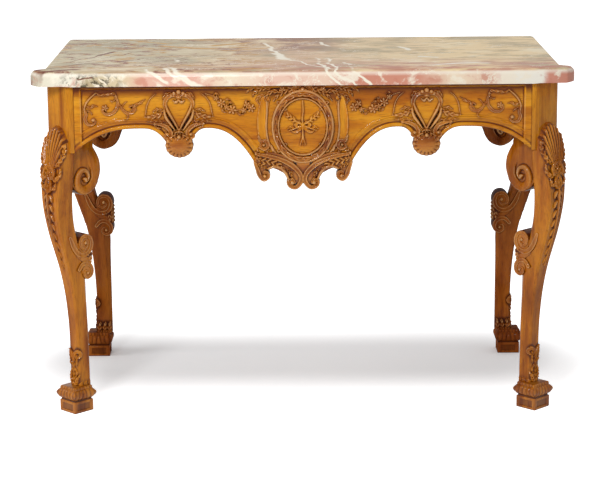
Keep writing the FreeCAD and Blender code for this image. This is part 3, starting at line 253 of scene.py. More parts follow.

# %% [markdown]
# The sawn edge cuts the streaks across, so it shows patches of 3 to 8 cm: cream at the left, then
# rose, pale pink, brick red and a block of white. The upper rim is rounded, with a pale highlight painted
# along it.

# %% Sawn edge of the marble
def marble_edge(tree, bent, along, x, y, z):
    """The edges: broad patches with finer blots, grit at the left, and a painted highlight along the rim."""
    edge = node(tree, "ValToRGB", {"Fac": along}, stops=(
        (0.0, "#8B7D66"), (1.0, "#D08A74"), (0.02, "#DDD6C0"), (0.08, "#E9E4D2"), (0.11, "#B7A684"),
        (0.17, "#D8C6A2"), (0.21, "#E3B7A2"), (0.30, "#E2AE9B"), (0.36, "#EEDFC4"), (0.45, "#E8C3AF"),
        (0.55, "#EACBB4"), (0.60, "#D08C76"), (0.72, "#D4937C"), (0.77, "#F0DCC0"), (0.84, "#EAC8B0"),
        (0.885, "#F4EEE0"), (0.93, "#F4EEE0"), (0.94, "#D6937E")))
    blots = cloud(tree, bent, 19.0, (1.0, 1.0, 1.4), 0.0, 6.0)
    edge = lay(tree, edge, "#F6EBD6", 0.85, (blots, 0.53, 0.6))
    edge = lay(tree, edge, "#C87C66", 0.6, (blots, 0.45, 0.36))
    grit = cloud(tree, bent, 60.0)
    edge = lay(tree, edge, "#5F5540", 1.0, (grit, 0.49, 0.56), (x, -0.61, -0.56), (x, -0.42, -0.49),
               (y, -0.27, -0.31))
    # Painted highlight: a pale band along the rounded upper rim.
    return lay(tree, edge, "#F8F0E0", 0.6, (z, 0.866, 0.8735))

print("marble edge ready")

# %% [markdown]
# Iron has drawn broken brown-red and ochre lines over the left of the face, a few millimetres
# wide. A vein is a crack that filled with white calcite, so in the stone it is a thin sheet: it
# runs over the face and on down the edge. Each is a plane with a thickness, a place and a reach.

# %% Cracks of the marble
FACE_HIGH, EDGE_AT = 0.88, -0.328

def face_crack(x, y, run_x, run_y, half, reach, tilt=0.0):
    """A crack of the face, in mm: its point, the way it runs and the way across, half thickness, reach."""
    point = x / 1000, y / 1000, FACE_HIGH
    return point, (run_x, run_y, 0.0), (-run_y, run_x, tilt), half / 1000, reach / 1000

def edge_crack(x, z, run_x, run_z, half, reach):
    """A crack of the front edge, in mm."""
    point = x / 1000, EDGE_AT, z / 1000
    return point, (run_x, 0.0, run_z), (-run_z, 0.1, run_x), half / 1000, reach / 1000

VEINS = [face_crack(*row) for row in (
    (-80, 100, 0.17, -0.98, 6, 140), (-55, -60, 0.3, -0.95, 12, 70), (10, -200, 0.53, -0.85, 3.5, 140, 0.3),
    (55, 180, 0.3, -0.95, 4.5, 60), (265, 85, 0.2, -0.98, 6, 50), (325, -85, 0.9, -0.4, 9, 30),
    (400, -220, 0.98, 0.1, 8, 80))]
VEINS += [edge_crack(*row) for row in (
    (-350, 866, 0.86, -0.5, 4.5, 40), (-300, 866, 0.86, -0.5, 3, 45), (-285, 866, 0.8, -0.6, 4.5, 50),
    (90, 866, 0.8, -0.6, 3, 50), (115, 866, 0.8, -0.6, 2.4, 50), (150, 866, 0.75, -0.66, 3, 40))]
STAINED = [face_crack(*row) for row in (
    (-600, -285, 0.92, 0.39, 8, 60), (-645, -250, 0.2, 0.98, 5, 50), (-500, 20, 0.5, 0.86, 4, 50),
    (-440, -120, 0.8, 0.6, 4, 40), (-530, -20, 0.5, 0.86, 2.4, 200), (-420, 50, 0.62, 0.78, 2, 170),
    (-330, -100, 0.7, 0.71, 2, 140), (-570, -200, 0.75, 0.66, 3, 100))]
STAINED.append(((-0.53, EDGE_AT, 0.852), (1.0, 0.0, 0.1), (0.0, 0.1, 1.0), 0.002, 0.025))
OCHRE = [face_crack(*row) for row in (
    (-300, 140, 0.93, -0.36, 9, 100), (-200, 200, 0.9, 0.43, 8, 70), (-150, 90, 0.85, 0.5, 7, 70),
    (-400, 240, 0.8, -0.6, 6, 60))]
print(len(VEINS), "veins and", len(STAINED) + len(OCHRE), "stained cracks")

# %% [markdown]
# A crack shows where the stone is near its plane and within its reach. Finer lines are found
# without planes: a cloud crosses its middle value along a crooked line, and another cloud breaks it.

# %% Colour in the cracks
def fill_cracks(tree, ground, bent, cracks, colour):
    """A colour over a ground wherever it fills one of some cracks."""
    for point, run, across, thick, reach in cracks:
        step = node(tree, "VectorMath", {0: bent, 1: point}, operation="SUBTRACT")
        off = node(tree, "VectorMath", {0: step, 1: across}, out="Value", operation="DOT_PRODUCT")
        down = node(tree, "VectorMath", {0: step, 1: run}, out="Value", operation="DOT_PRODUCT")
        ground = lay(tree, ground, colour, 1.0, (distance(tree, off, 0.0), thick * 1.3, thick * 0.6),
                     (distance(tree, down, 0.0), reach, reach * 0.75))
    return ground

def broken_lines(tree, ground, bent, colour, scale, turn, shift, width, *wheres):
    """Thin broken lines: where one cloud crosses its middle value, as far as another lets them show."""
    wave = cloud(tree, bent, scale, (1.0, 2.2, 1.0), turn, shift)
    gate = cloud(tree, bent, scale * 1.6, (1.0, 2.0, 1.0), turn, shift + 4.0)
    return lay(tree, ground, colour, 1.0, (distance(tree, wave, 0.5), width, 0.0), (gate, 0.5, 0.55), *wheres)

print("cracks and lines ready")

# %% [markdown]
# The polish is bright: a clear coat stands for it, uneven by a breath. The stone under it is matt,
# so its colours stay as strong as they are written. All its patterns are pushed about by a slow
# drift, as the stone was.

# %% Polished breccia marble
def breccia_marble():
    """Streaks, patches, stained lines and white veins of a polished breccia slab."""
    material, tree, surface, place = finish("breccia_marble_polished", Specular_IOR_Level=0.0, IOR=1.49,
                                            Coat_Weight=0.3)
    drift = node(tree, "TexNoise", {"Vector": place, "Scale": 8.0, "Detail": 6.0}, out="Color")
    push = node(tree, "VectorMath", {0: drift, 1: (0.5, 0.5, 0.5)}, operation="SUBTRACT")
    push = node(tree, "VectorMath", {0: push, "Scale": 0.08}, operation="SCALE")
    bent = node(tree, "VectorMath", {0: place, 1: push})
    x, y = (node(tree, "SeparateXYZ", {0: bent}, out=axis) for axis in "XY")
    z = node(tree, "SeparateXYZ", {0: place}, out="Z")
    along = node(tree, "MapRange", {"Value": x, "From Min": -0.67, "From Max": 0.67})
    face = marble_face(tree, bent, along, x, y)
    face = broken_lines(tree, face, bent, "#BE8A40", 5.0, -0.5, 1.7, 0.06, (x, 0.1, -0.1))
    face = broken_lines(tree, face, bent, "#80382E", 7.0, -0.9, 5.3, 0.045, (x, -0.05, -0.2))
    colour = lay(tree, face, marble_edge(tree, bent, along, x, y, z), 1.0, (z, 0.8785, 0.874))
    colour = broken_lines(tree, colour, bent, "#F5ECD8", 6.0, -0.3, 9.1, 0.01)
    for cracks, filling in ((OCHRE, "#C9974C"), (STAINED, "#74402F"), (VEINS, "#F5ECD8")):
        colour = fill_cracks(tree, colour, bent, cracks, filling)
    tree.links.new(colour, surface["Base Color"])
    breath = node(tree, "TexNoise", {"Vector": place, "Scale": 12.0})
    rough = node(tree, "MapRange", {"Value": breath, "To Min": 0.1, "To Max": 0.2})
    tree.links.new(rough, surface["Coat Roughness"])
    return material

MARBLE = breccia_marble()
print("made", MARBLE.name)

# %% [markdown]
# The show wood is walnut that was planed, carved, stained golden and varnished. Pores and grain
# run along each board, 1 to 2 mm apart, with broader streaks 10 to 20 mm apart. Shade is painted
# dark into the hollows and a highlight painted light on the ridges: each carved mesh carries a
# "hollow" value at its points for that, from -1 on a ridge to 1 in a hollow, and the finish reads it.
# All the shine is the varnish's, so only a clear coat has it: thick on carving, thin on shaded wood.

# %% Varnished walnut
# Dark, middle and light tone of each kind of the wood, and a dark colour for its pores and its painted shade.
TONES = {"golden": ("#A65A0A", "#CC7E0E", "#E09C24", "#5E240A"),
         "amber": ("#94500A", "#BC7410", "#D49024", "#50200A"),
         "brown": ("#803E06", "#AC600E", "#CC821C", "#50200A"),
         "carved": ("#7A3A0A", "#A45A12", "#C6802A", "#481A0A"),
         # The shaded kind is a darker copy of the walnut for the back legs: painted shade, and age.
         "shaded": ("#5E280A", "#864416", "#A45E20", "#3C1408")}
COATS = {"golden": 0.25, "amber": 0.25, "brown": 0.28, "carved": 0.4, "shaded": 0.08}
# A painted highlight, laid on the ridges of carving where the hollow value is below -0.3.
PAINTED_HIGHLIGHT = "#F0C488"

def along_grain(grain, along, across):
    """A stretch of a pattern: one scale along the grain's axis and another across it."""
    return [along if axis == grain else across for axis in "XYZ"]

def varnished_walnut(kind, grain):
    """Varnished walnut of one kind of tone with its grain along one axis."""
    way = "planed" if kind in ("golden", "amber") else "gouged"
    material, tree, surface, place = finish(f"walnut_{kind}_{way}_varnished_{grain}", Specular_IOR_Level=0.0,
                                            Coat_Weight=COATS[kind], Coat_Roughness=0.07)
    dark, middle, light, pores_and_shade = TONES[kind]
    board = node(tree, "Mapping", {"Vector": place, "Scale": along_grain(grain, 1.0, 14.0)})
    broad = node(tree, "TexNoise", {"Vector": board, "Scale": 2.6, "Detail": 5.0, "Roughness": 0.5,
                                    "Distortion": 0.4})
    colour = node(tree, "ValToRGB", {"Fac": broad}, stops=((0.3, dark), (0.72, light), (0.47, middle)))
    blotch = cloud(tree, place, 11.0, along_grain(grain, 0.5, 1.4))
    colour = lay(tree, colour, dark, 0.75, (blotch, 0.5, 0.68))
    colour = lay(tree, colour, light, 0.6, (blotch, 0.5, 0.36))
    pores = node(tree, "TexNoise", {"Vector": board, "Scale": 38.0, "Detail": 3.0})
    colour = lay(tree, colour, pores_and_shade, 0.35, (pores, 0.46, 0.34))
    hollow = node(tree, "Attribute", {}, out="Fac", attribute_name="hollow")
    # Painted highlight on the ridges and painted shade in the hollows, both read from the hollow value.
    colour = lay(tree, colour, PAINTED_HIGHLIGHT, 0.42, (hollow, -0.3, -1.0))
    colour = lay(tree, colour, pores_and_shade, 0.92, (hollow, 0.08, 0.9))
    tree.links.new(colour, surface["Base Color"])
    rough = node(tree, "MapRange", {"Value": blotch, "To Min": 0.2, "To Max": 0.42})
    tree.links.new(rough, surface["Roughness"])
    bump = node(tree, "Bump", {"Height": pores, "Strength": 0.12, "Distance": 0.0006})
    tree.links.new(bump, surface["Normal"])
    return material

WOOD = {(kind, grain): varnished_walnut(kind, grain) for kind in TONES for grain in "XYZ"}
print("made", len(WOOD), "walnut finishes")

# %% [markdown]
# What nobody sees is plain oak, sawn and planed but never polished: back rail, bearers, blocks,
# pegs and dowels. It is pale brown and dull, with grey dust in its pores. The screws are iron
# with a thin brown rust, so their colour varies and they hardly shine.

# %% Unpolished oak and rusted iron
def planed_oak(grain):
    """Dull unpolished oak with long open pores along one axis."""
    material, tree, surface, place = finish(f"oak_planed_unpolished_{grain}", Roughness=0.75, IOR=1.5)
    board = node(tree, "Mapping", {"Vector": place, "Scale": along_grain(grain, 1.0, 22.0)})
    rings = node(tree, "TexNoise", {"Vector": board, "Scale": 3.0, "Detail": 4.0})
    tones = ((0.3, "#7C5A34"), (0.75, "#AE8A58"), (0.55, "#9A7444"))
    colour = node(tree, "ValToRGB", {"Fac": rings}, stops=tones)
    pores = node(tree, "TexNoise", {"Vector": board, "Scale": 30.0, "Detail": 2.0})
    colour = lay(tree, colour, "#4B3520", 0.5, (pores, 0.45, 0.35))
    tree.links.new(colour, surface["Base Color"])
    bump = node(tree, "Bump", {"Height": pores, "Strength": 0.3, "Distance": 0.0008})
    tree.links.new(bump, surface["Normal"])
    return material

def rusted_iron():
    """Old drawn iron under a thin skin of rust."""
    material, tree, surface, place = finish("iron_drawn_rusted", Metallic=0.6, Roughness=0.6)
    crust = node(tree, "TexNoise", {"Vector": place, "Scale": 400.0, "Detail": 3.0})
    colour = node(tree, "ValToRGB", {"Fac": crust}, stops=((0.4, "#4A4643"), (0.65, "#6B4630")))
    tree.links.new(colour, surface["Base Color"])
    return material

OAK = {grain: planed_oak(grain) for grain in "XYZ"}
IRON = rusted_iron()
print("made", [m.name for m in OAK.values()], IRON.name)

# %% [markdown]
# Some solid parts are already the shape of the real ones: the plain joinery behind the carving.
# They keep their meshes and only get a finish, with its grain along the board. The others get a
# walnut finish too, though their dressed pieces will hide them.

# %% Finish the solid parts
def dress(name, material):
    """Give every material slot of a solid part one finish."""
    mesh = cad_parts[name].data
    if not mesh.materials:
        mesh.materials.append(material)
    for place in range(len(mesh.materials)):
        mesh.materials[place] = material

PLAIN = {"cross_bearer": OAK["Y"], "corner_block": OAK["Z"], "foot_dowels": OAK["Z"], "back_rail": OAK["X"],
         "tenon_pegs": OAK["X"], "block_screws": IRON}
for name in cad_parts:
    dress(name, next((m for start, m in PLAIN.items() if name.startswith(start)), WOOD["carved", "Z"]))
print("dressed", len(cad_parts), "solid parts")

# %% [markdown]
# Relief carving is drawn first and cut second. Here a drawing is a set of strokes over a plane of
# points: each point learns how deep it lies inside a stroke and how high the wood stands there.
# Sculpting by hand would give the same surface, but a drawing in numbers can be mirrored, repeated
# and corrected.

# %% A plane of points and smooth lines
class Relief:
    """A plane of points, how far each lies inside the drawing, and how high the wood stands."""
    def __init__(self, x, z):
        self.x, self.z = x, z
        self.inside = np.full(x.shape, -60.0)
        self.high = np.zeros(x.shape)

    def add(self, inside, high, where=slice(None)):
        """Join one more form: the higher one wins where two meet."""
        self.inside[where] = np.maximum(self.inside[where], inside)
        self.high[where] = np.maximum(self.high[where], np.where(inside > 0, high, 0))

def smooth_line(points, count=44):
    """More points on the smooth run through a few."""
    p = np.array(points, float)
    p = np.vstack([2 * p[0] - p[1], p, 2 * p[-1] - p[-2]])
    place = np.linspace(0, len(points) - 1, count)
    i = np.minimum(place.astype(int), len(points) - 2)
    f = (place - i)[:, None]
    a, b, c, d = p[i], p[i + 1], p[i + 2], p[i + 3]
    square, cube = 2 * a - 5 * b + 4 * c - d, 3 * b - a - 3 * c + d
    return 0.5 * (2 * b + (c - a) * f + square * f ** 2 + cube * f ** 3)

def nearest(x, z, line):
    """Distance from points to a line, and where along the line that is, from 0 to 1."""
    steps = np.diff(line, axis=0)
    lengths = np.hypot(*steps.T) + 1e-9
    starts = np.concatenate([[0], np.cumsum(lengths)])
    best = np.full(x.shape, 1e9)
    along = np.zeros(x.shape)
    for (ax, az), (dx, dz), length, begun in zip(line, steps, lengths, starts):
        t = np.clip(((x - ax) * dx + (z - az) * dz) / length ** 2, 0, 1)
        gap = np.hypot(x - ax - t * dx, z - az - t * dz)
        closer = gap < best
        best = np.where(closer, gap, best)
        along = np.where(closer, begun + t * length, along)
    return best, along / starts[-1]

print("a smooth line has", len(smooth_line([(0, 0), (1, 1), (2, 0)])), "points")

# %% [markdown]
# A stroke follows a smooth line with a width and a height along it, as one cut of a gouge does. Its
# cross-section is round, a ridge, a hollow band with raised edges, or a leaf with veins, whose
# lobes notch the outline too. A drawing lists strokes from a point of its own.

# %% Strokes
FORMS = {
    "round": lambda t, wave: np.sqrt(1 - t ** 2),
    "ridge": lambda t, wave: (1 - t) ** 0.75,
    "hollow": lambda t, wave: np.clip((1 - t) * 4, 0, 1) ** 0.5 * (0.45 + 0.55 * t ** 2),
    "leaf": lambda t, wave: np.sqrt(1 - t ** 2) * (0.66 + 0.34 * wave) * (1 - 0.3 * np.exp(-(t * 6) ** 2)),
}

def evenly(values, share):
    """A value along a stroke from a few that are evenly spaced."""
    return np.interp(share, np.linspace(0, 1, len(values)), values)

def stroke(relief, form, high, lobes, widths, points):
    """Add one stroke of a form along a smooth line; its height is one value or a few along the line."""
    line = smooth_line(points)
    reach = max(widths)
    near = ((relief.x > line[:, 0].min() - reach) & (relief.x < line[:, 0].max() + reach)
            & (relief.z > line[:, 1].min() - reach) & (relief.z < line[:, 1].max() + reach))
    if not near.any():
        return
    gap, share = nearest(relief.x[near], relief.z[near], line)
    half = evenly(widths, share) / 2
    if lobes:
        half = half * (0.64 + 0.36 * np.abs(np.sin(np.pi * lobes * share)))
    t = np.clip(gap / np.maximum(half, 0.01), 0, 1)
    wave = np.cos(2 * np.pi * (lobes * share - 0.9 * t))
    relief.add(half - gap, evenly(np.atleast_1d(high), share) * FORMS[form](t, wave), near)

def draw(relief, strokes, x=0, z=0, signs=(1, -1), wide=1):
    """Add strokes (form, height, lobes, widths, points) from a point, by default also mirrored."""
    for sign in signs:
        for form, high, lobes, widths, *points in strokes:
            moved = [(x + sign * wide * dx, z + dz) for dx, dz in points]
            stroke(relief, form, high, lobes, widths, moved)

print("strokes:", ", ".join(FORMS))

# %% [markdown]
# Bosses, blossoms and oval mouldings are drawn by formulas of their own. A boss is a part of a
# ball, such as a berry or the eye of a scroll.

# %% Bosses, blossoms and ovals
def dome(relief, x, z, radius, high):
    """A round boss."""
    gap = np.hypot(relief.x - x, relief.z - z)
    relief.add(radius - gap, high * np.sqrt(np.clip(1 - (gap / radius) ** 2, 0, 1)))

def flower(relief, x, z, radius, high, petals=5, turn=0.0):
    """An open blossom: rounded petals round a button."""
    dx, dz = relief.x - x, relief.z - z
    gap, angle = np.hypot(dx, dz), np.arctan2(dz, dx) + turn
    petal = np.abs(np.cos(angle * petals / 2))
    rim = radius * (0.62 + 0.38 * petal)
    t = np.clip(gap / rim, 0, 1)
    relief.add(rim - gap, high * np.sqrt(1 - t ** 3) * (0.55 + 0.45 * petal))
    dome(relief, x, z, radius * 0.28, high * 1.15)

def oval_ring(relief, x, z, half_x, half_z, width, high):
    """A round oval moulding of even width."""
    turn = np.linspace(0, 2 * np.pi, 73)
    line = np.column_stack([x + half_x * np.cos(turn), z + half_z * np.sin(turn)])
    near = np.hypot((relief.x - x) / (half_x + width), (relief.z - z) / (half_z + width)) < 1
    gap, share = nearest(relief.x[near], relief.z[near], line)
    relief.add(width / 2 - gap, high * FORMS["round"](np.clip(gap / (width / 2), 0, 1), 0), near)

print("bosses, blossoms and ovals ready")

# %% [markdown]
# A drawing is cut in a mesh grid: the grid primitive's points take the drawing's heights. The mean
# height round a point, less its own, tells how hollow the carving is there, and so how much shade or
# highlight is painted on it.

# %% From drawing to mesh
def soften(values, reach):
    """The mean of a grid of values over a square of neighbours."""
    for axis in (0, 1):
        pads = [(reach, reach) if a == axis else (0, 0) for a in (0, 1)]
        total = np.cumsum(np.pad(values, pads, mode="edge"), axis=axis)
        total = np.insert(total, 0, 0, axis=axis)
        size = 2 * reach + 1
        low = np.take(total, range(values.shape[axis]), axis=axis)
        high = np.take(total, range(size, size + values.shape[axis]), axis=axis)
        values = (high - low) / size
    return values

def add_grid(name, columns, rows):
    """A grid primitive and the shares, across and up, of its points."""
    bpy.ops.object.select_all(action="DESELECT")
    bpy.ops.mesh.primitive_grid_add(x_subdivisions=columns, y_subdivisions=rows, size=1)
    piece = bpy.context.object
    piece.name = piece.data.name = name
    places = np.empty(len(piece.data.vertices) * 3)
    piece.data.vertices.foreach_get("co", places)
    places = places.reshape(rows + 1, columns + 1, 3)
    return piece, places[..., 0] + 0.5, places[..., 1] + 0.5

def set_points(piece, x, y, z, hollow):
    """Give a mesh its points in metres from millimetres, and its hollow values, which set its painted shade
    and highlight.
    """
    places = np.stack([x, y, z], axis=-1).reshape(-1) / 1000
    piece.data.vertices.foreach_set("co", places)
    layer = piece.data.attributes.new("hollow", "FLOAT", "POINT")
    layer.data.foreach_set("value", np.clip(hollow, -1, 1).reshape(-1).astype(np.float32))
    piece.data.update()

print("grids ready")

# %% [markdown]
# A carved piece loses the faces outside its drawing, and the points on the cut edge are pulled onto
# the outline. Its face is then extruded back into the wood, to a flat back.

# %% Cutting out
@contextmanager
def editing(kind="FACE", action="SELECT"):
    """Edit mode for the steps inside, with all of the active mesh selected at first, or nothing."""
    bpy.ops.object.mode_set(mode="EDIT")
    bpy.ops.mesh.select_mode(type=kind)
    bpy.ops.mesh.select_all(action=action)
    yield
    bpy.ops.object.mode_set(mode="OBJECT")

def delete_faces(piece, chosen):
    """Delete the chosen faces of a mesh."""
    with editing(action="DESELECT"):
        bpy.ops.object.mode_set(mode="OBJECT")
        piece.data.polygons.foreach_set("select", chosen)
        bpy.ops.object.mode_set(mode="EDIT")
        bpy.ops.mesh.delete(type="FACE")

def thicken(depth):
    """Extrude the active mesh back to a flat face at a depth."""
    with editing():
        bpy.ops.mesh.extrude_region_move(TRANSFORM_OT_translate={"value": (0, 0.05, 0)})
        bpy.ops.transform.resize(value=(1, 0, 1), center_override=(0, depth / 1000, 0))
        bpy.ops.mesh.select_all(action="SELECT")
        bpy.ops.mesh.normals_make_consistent(inside=False)

def fill_pinches(keep):
    """Keep the faces beside two that touch only at a corner, so that each edge has two faces."""
    for _ in range(3):
        a, b, c, d = keep[:-1, :-1], keep[:-1, 1:], keep[1:, :-1], keep[1:, 1:]
        pinch = (a & d & ~b & ~c) | (b & c & ~a & ~d)
        for part in (a, b, c, d):
            part |= pinch

SHADE_REACH, SHADE_OF_DROP = 5, 0.52    # how far off a hollow is felt, in mm, and how dark it gets
RIM_WIDE = 1.8                          # how far painted shade reaches inside a motif's outline, in mm

def carve(name, x_span, z_span, step, drawing, depth, ground=0.0):
    """A piece cut from a drawing: its face stands in front of Y = ground and its back lies at a depth."""
    columns = round((x_span[1] - x_span[0]) / step)
    rows = round((z_span[1] - z_span[0]) / step)
    piece, across, up = add_grid(name, columns, rows)
    x = x_span[0] + across * (x_span[1] - x_span[0])
    z = z_span[0] + up * (z_span[1] - z_span[0])
    relief = Relief(x, z)
    drawing(relief)
    inside, high = relief.inside, relief.high
    corners = [inside[:-1, :-1], inside[1:, :-1], inside[:-1, 1:], inside[1:, 1:]]
    keep = (np.maximum.reduce(corners) > 0) & (np.minimum.reduce(corners) > -1.5 * step)
    fill_pinches(keep)
    slope_z, slope_x = np.gradient(inside, step)
    steep = np.hypot(slope_x, slope_z) + 1e-6
    pull = np.where(inside < 0, np.clip(-inside / steep, 0, 1.2 * step), 0)
    # Painted shade in the carving's hollows and just inside its outline, painted highlight on its ridges.
    drop = soften(high, max(2, round(SHADE_REACH / step))) - high
    hollow = drop * SHADE_OF_DROP + np.clip(1 - inside / RIM_WIDE, 0, 1) * 0.5
    set_points(piece, x + pull * slope_x / steep, ground - high, z + pull * slope_z / steep, hollow)
    delete_faces(piece, ~keep.reshape(-1))
    thicken(depth)
    return piece

print("cutting tools ready")

# %% [markdown]
# Every piece is settled in the same way: put in its place, cleaned, shaded smooth up to an angle,
# given its finish, and the solid part it stands for is hidden.

# %% Settling a piece
FACES = {"front": ((0, -FRONT_FACE, 0), 0), "right": ((SIDE_FACE, 0, 0), 90),
         "left": ((-SIDE_FACE, 0, 0), -90)}

def choose(*pieces):
    """Select some pieces and nothing else; the last one is active."""
    bpy.ops.object.select_all(action="DESELECT")
    for piece in pieces:
        piece.select_set(True)
    bpy.context.view_layer.objects.active = pieces[-1]

def put(piece, place, turn):
    """Stand a piece at a place in mm, turned round the vertical by degrees; its origin stays the world's."""
    choose(piece)
    piece.location = [v / 1000 for v in place]
    piece.rotation_euler = (0, 0, math.radians(turn))
    bpy.ops.object.transform_apply(location=True, rotation=True, scale=True)

def settle(piece, material, slot, nodes, place=(0, 0, 0), turn=0, angle=35):
    """Put a piece in its place, clean and shade it, give it its finish, and hide the solid parts it stands
    for.
    """
    put(piece, place, turn)
    with editing():
        bpy.ops.mesh.remove_doubles(threshold=0.00005)
        bpy.ops.mesh.normals_make_consistent(inside=False)
    bpy.ops.object.shade_smooth_by_angle(angle=math.radians(angle))
    piece.data.materials.clear()
    piece.data.materials.append(material)
    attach(piece, "root")
    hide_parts(*nodes)
    print(f"{piece.name}: {len(piece.data.polygons)} faces")

print("places for pieces:", ", ".join(FACES))

# %% [markdown]
# The slab is one block of stone with its upper rim rounded over. Its solid part has the right
# outline, and its ears and rim are faceted. A copy of that mesh, with its doubled points merged and
# its flat triangles joined, only needs smooth shading to look ground and polished.

# %% Marble slab
slab = bpy.data.objects.new("marble_slab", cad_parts["marble_top"].data.copy())
bpy.context.scene.collection.objects.link(slab)
choose(slab)
with editing():
    bpy.ops.mesh.remove_doubles(threshold=0.00001)
    bpy.ops.mesh.dissolve_limited(angle_limit=math.radians(0.5))
settle(slab, MARBLE, "marble", ["marble_top"], angle=40)

# %% [markdown]
# The rails are boards with a scalloped lower edge: tongues at the middle and at each shell, joined
# by half arches that rise to a crown and fall steeper and steeper to their foot. The side rails
# are short versions of the front one, with one shell.

# %% Outlines of the rails
RAIL_MIDDLE, RAIL_SHELL, RAIL_ARCH = 194, 173, 108
SHELL_AT, TONGUE_HALF = 305, 17

def half_arch(crown, foot, drop, power):
    """Half an arch from its crown to its foot, falling steeper and steeper."""
    share = np.linspace(0, 1, 24)
    return [(crown + (foot - crown) * s, RAIL_TOP - RAIL_ARCH - drop * s ** power) for s in share]

def both_sides(points):
    """A run of points and its mirror image, as one line from left to right."""
    points = np.array(points)
    return np.vstack([points[:0:-1] * (-1, 1), points])

FRONT_EDGE = both_sides(
    [(0, RAIL_TOP - RAIL_MIDDLE)] + half_arch(235, 121, 86, 2.3)[::-1]
    + half_arch(235, SHELL_AT - TONGUE_HALF, 65, 2.6)[1:]
    + half_arch(400, SHELL_AT + TONGUE_HALF, 65, 2.8)[::-1] + half_arch(400, POST_AT, 60, 2.6)[1:])
SIDE_EDGE = both_sides([(0, RAIL_TOP - RAIL_SHELL)] + half_arch(95, TONGUE_HALF, 65, 2.8)[::-1]
                       + half_arch(95, SIDE_POST_AT, 60, 2.6)[1:])
print("front edge of", len(FRONT_EDGE), "points, side edge of", len(SIDE_EDGE))

# %% [markdown]
# A bead runs along the scalloped edge, then a wide hollow and a thin line, and above them the
# ground is sunk 4 mm between two stiles and a narrow top border. The grid follows the scallops:
# every column starts on the lower edge and ends under the slab, so the edge stays clean however
# steep it is. Shade is painted dark beside the ornament and under the slab, a highlight is painted
# along the bead, and the joints at the posts are dark.

# %% Boards of the rails
RAIL_THICK, STILE, TOP_BORDER = 32, 18, 9
BEAD, COVE, LINE_AT = 11, 24, 26    # from the edge: end of the bead, end of its hollow, thin line
BEAD_RISE, LINE_HALF = 4.6, 3

def rail_ground(relief, gap, half_long):
    """How far the rail's face stands behind its highest plane, before any ornament."""
    in_cove = (gap > BEAD) & (gap < COVE)
    rounding = np.sqrt(np.clip(1 - ((gap - BEAD / 2) / (BEAD / 2)) ** 2, 0, 1))
    face = np.where(gap < BEAD, rounding * BEAD_RISE - BEAD_RISE, -PANEL_SINK)
    from_line = np.abs(gap - LINE_AT)
    line = np.where(from_line < LINE_HALF, -1.6 - 0.9 * from_line, -PANEL_SINK)
    cove = np.where(in_cove, -4.8 + 2.8 * ((gap - BEAD) / (COVE - BEAD)) ** 2, -PANEL_SINK)
    face = np.maximum(np.maximum(face, line), cove)
    face = np.where(in_cove & (gap < BEAD + 3), np.minimum(face, -BEAD_RISE), face)
    flat = np.maximum(np.abs(relief.x) - (half_long - STILE), relief.z - (RAIL_TOP - TOP_BORDER))
    return np.where(flat > 0, 0.0, np.where(flat > -1.2, np.maximum(face, -PANEL_SINK * -flat / 1.2), face))

def rail_shade(relief, gap, half_long):
    """How dark a rail is painted: painted shade beside its ornament, in its lines and corners and under the
    slab, a painted highlight on its bead, and dark joints at the posts.
    """
    # Painted shade beside the ornament, in the crease inside the bead and along the lower edge.
    shade = soften((relief.inside > -1).astype(float), 2) * 0.6
    shade += np.exp(-((gap - 12) / 2.2) ** 2) * 0.6 + np.clip(1 - gap / 2.5, 0, 1) * 0.5
    # A darker tone on the moulding, and dark joints at the posts.
    shade += 0.2 * (gap < 27) + 0.14 * (gap < BEAD)
    shade += np.exp(-((half_long - np.abs(relief.x)) / 1.6) ** 2) * 0.9
    # A painted highlight along the crest of the bead.
    shade -= np.exp(-((gap - 6.5) / 1.2) ** 2) * 0.6
    # Painted shadow of the slab along the top of the rail.
    return shade + np.clip((relief.z - (RAIL_TOP - 34)) / 22, 0, 1) * 0.95

def board(name, edge, half_long, carving, columns, rows):
    """A scalloped rail as one closed board, with painted shade in the ground next to its ornament."""
    piece, across, up = add_grid(name, columns, rows)
    x = (across * 2 - 1) * half_long
    low = np.interp(x, edge[:, 0], edge[:, 1])
    relief = Relief(x, low + up * (RAIL_TOP - low))
    gap, _ = nearest(x, relief.z, edge)
    face = rail_ground(relief, gap, half_long)
    carving(relief)
    # Painted shade in the hollows of the moulding, added to the rail's painted shade and highlight.
    hollow = (soften(face, 2) - face) * 0.6 + rail_shade(relief, gap, half_long)
    set_points(piece, x, -face, relief.z, hollow)
    thicken(RAIL_THICK)
    return piece

print("boards ready")

# %% [markdown]
# The ornament of the rails is rococo leafwork. Each motif is a short list of strokes measured from
# a point of its own, so one drawing serves left, right and the two sides. Beside each post is a
# leafy spray: an S-scroll, and a C-scroll round a rosette, with a sprig where there is room for it.

# %% Sprays
SPRAY = (
    ("ridge", 5, 0, (4, 7, 8, 7, 5), (-57, -18), (-46, -27), (-34, -40), (-27, -56), (-28, -68)),
    ("hollow", 5.5, 0, (4, 8, 9, 9, 7, 6, 5, 4), (-27, -58), (-31, -72), (-28, -84), (-34, -96), (-46, -97),
     (-53, -90), (-49, -82), (-43, -86)),
    ("leaf", 4.5, 2.5, (4, 9, 8, 2), (-31, -50), (-42, -55), (-50, -50), (-60, -52)),
    ("leaf", 4, 2, (4, 7, 2), (-33, -62), (-42, -66), (-46, -74)),
    ("leaf", 4.5, 4.5, (4, 8, 9, 8, 3), (-57, -18), (-66, -24), (-84, -22), (-100, -20), (-108, -28)),
    ("hollow", 5.5, 0, (5, 7, 8, 9, 8, 7, 6, 4), (-104, -26), (-109, -40), (-107, -56), (-96, -69),
     (-82, -72), (-72, -64), (-74, -54), (-82, -54)),
    ("leaf", 4.5, 2, (4, 7, 2), (-104, -34), (-96, -40), (-90, -36)),
)
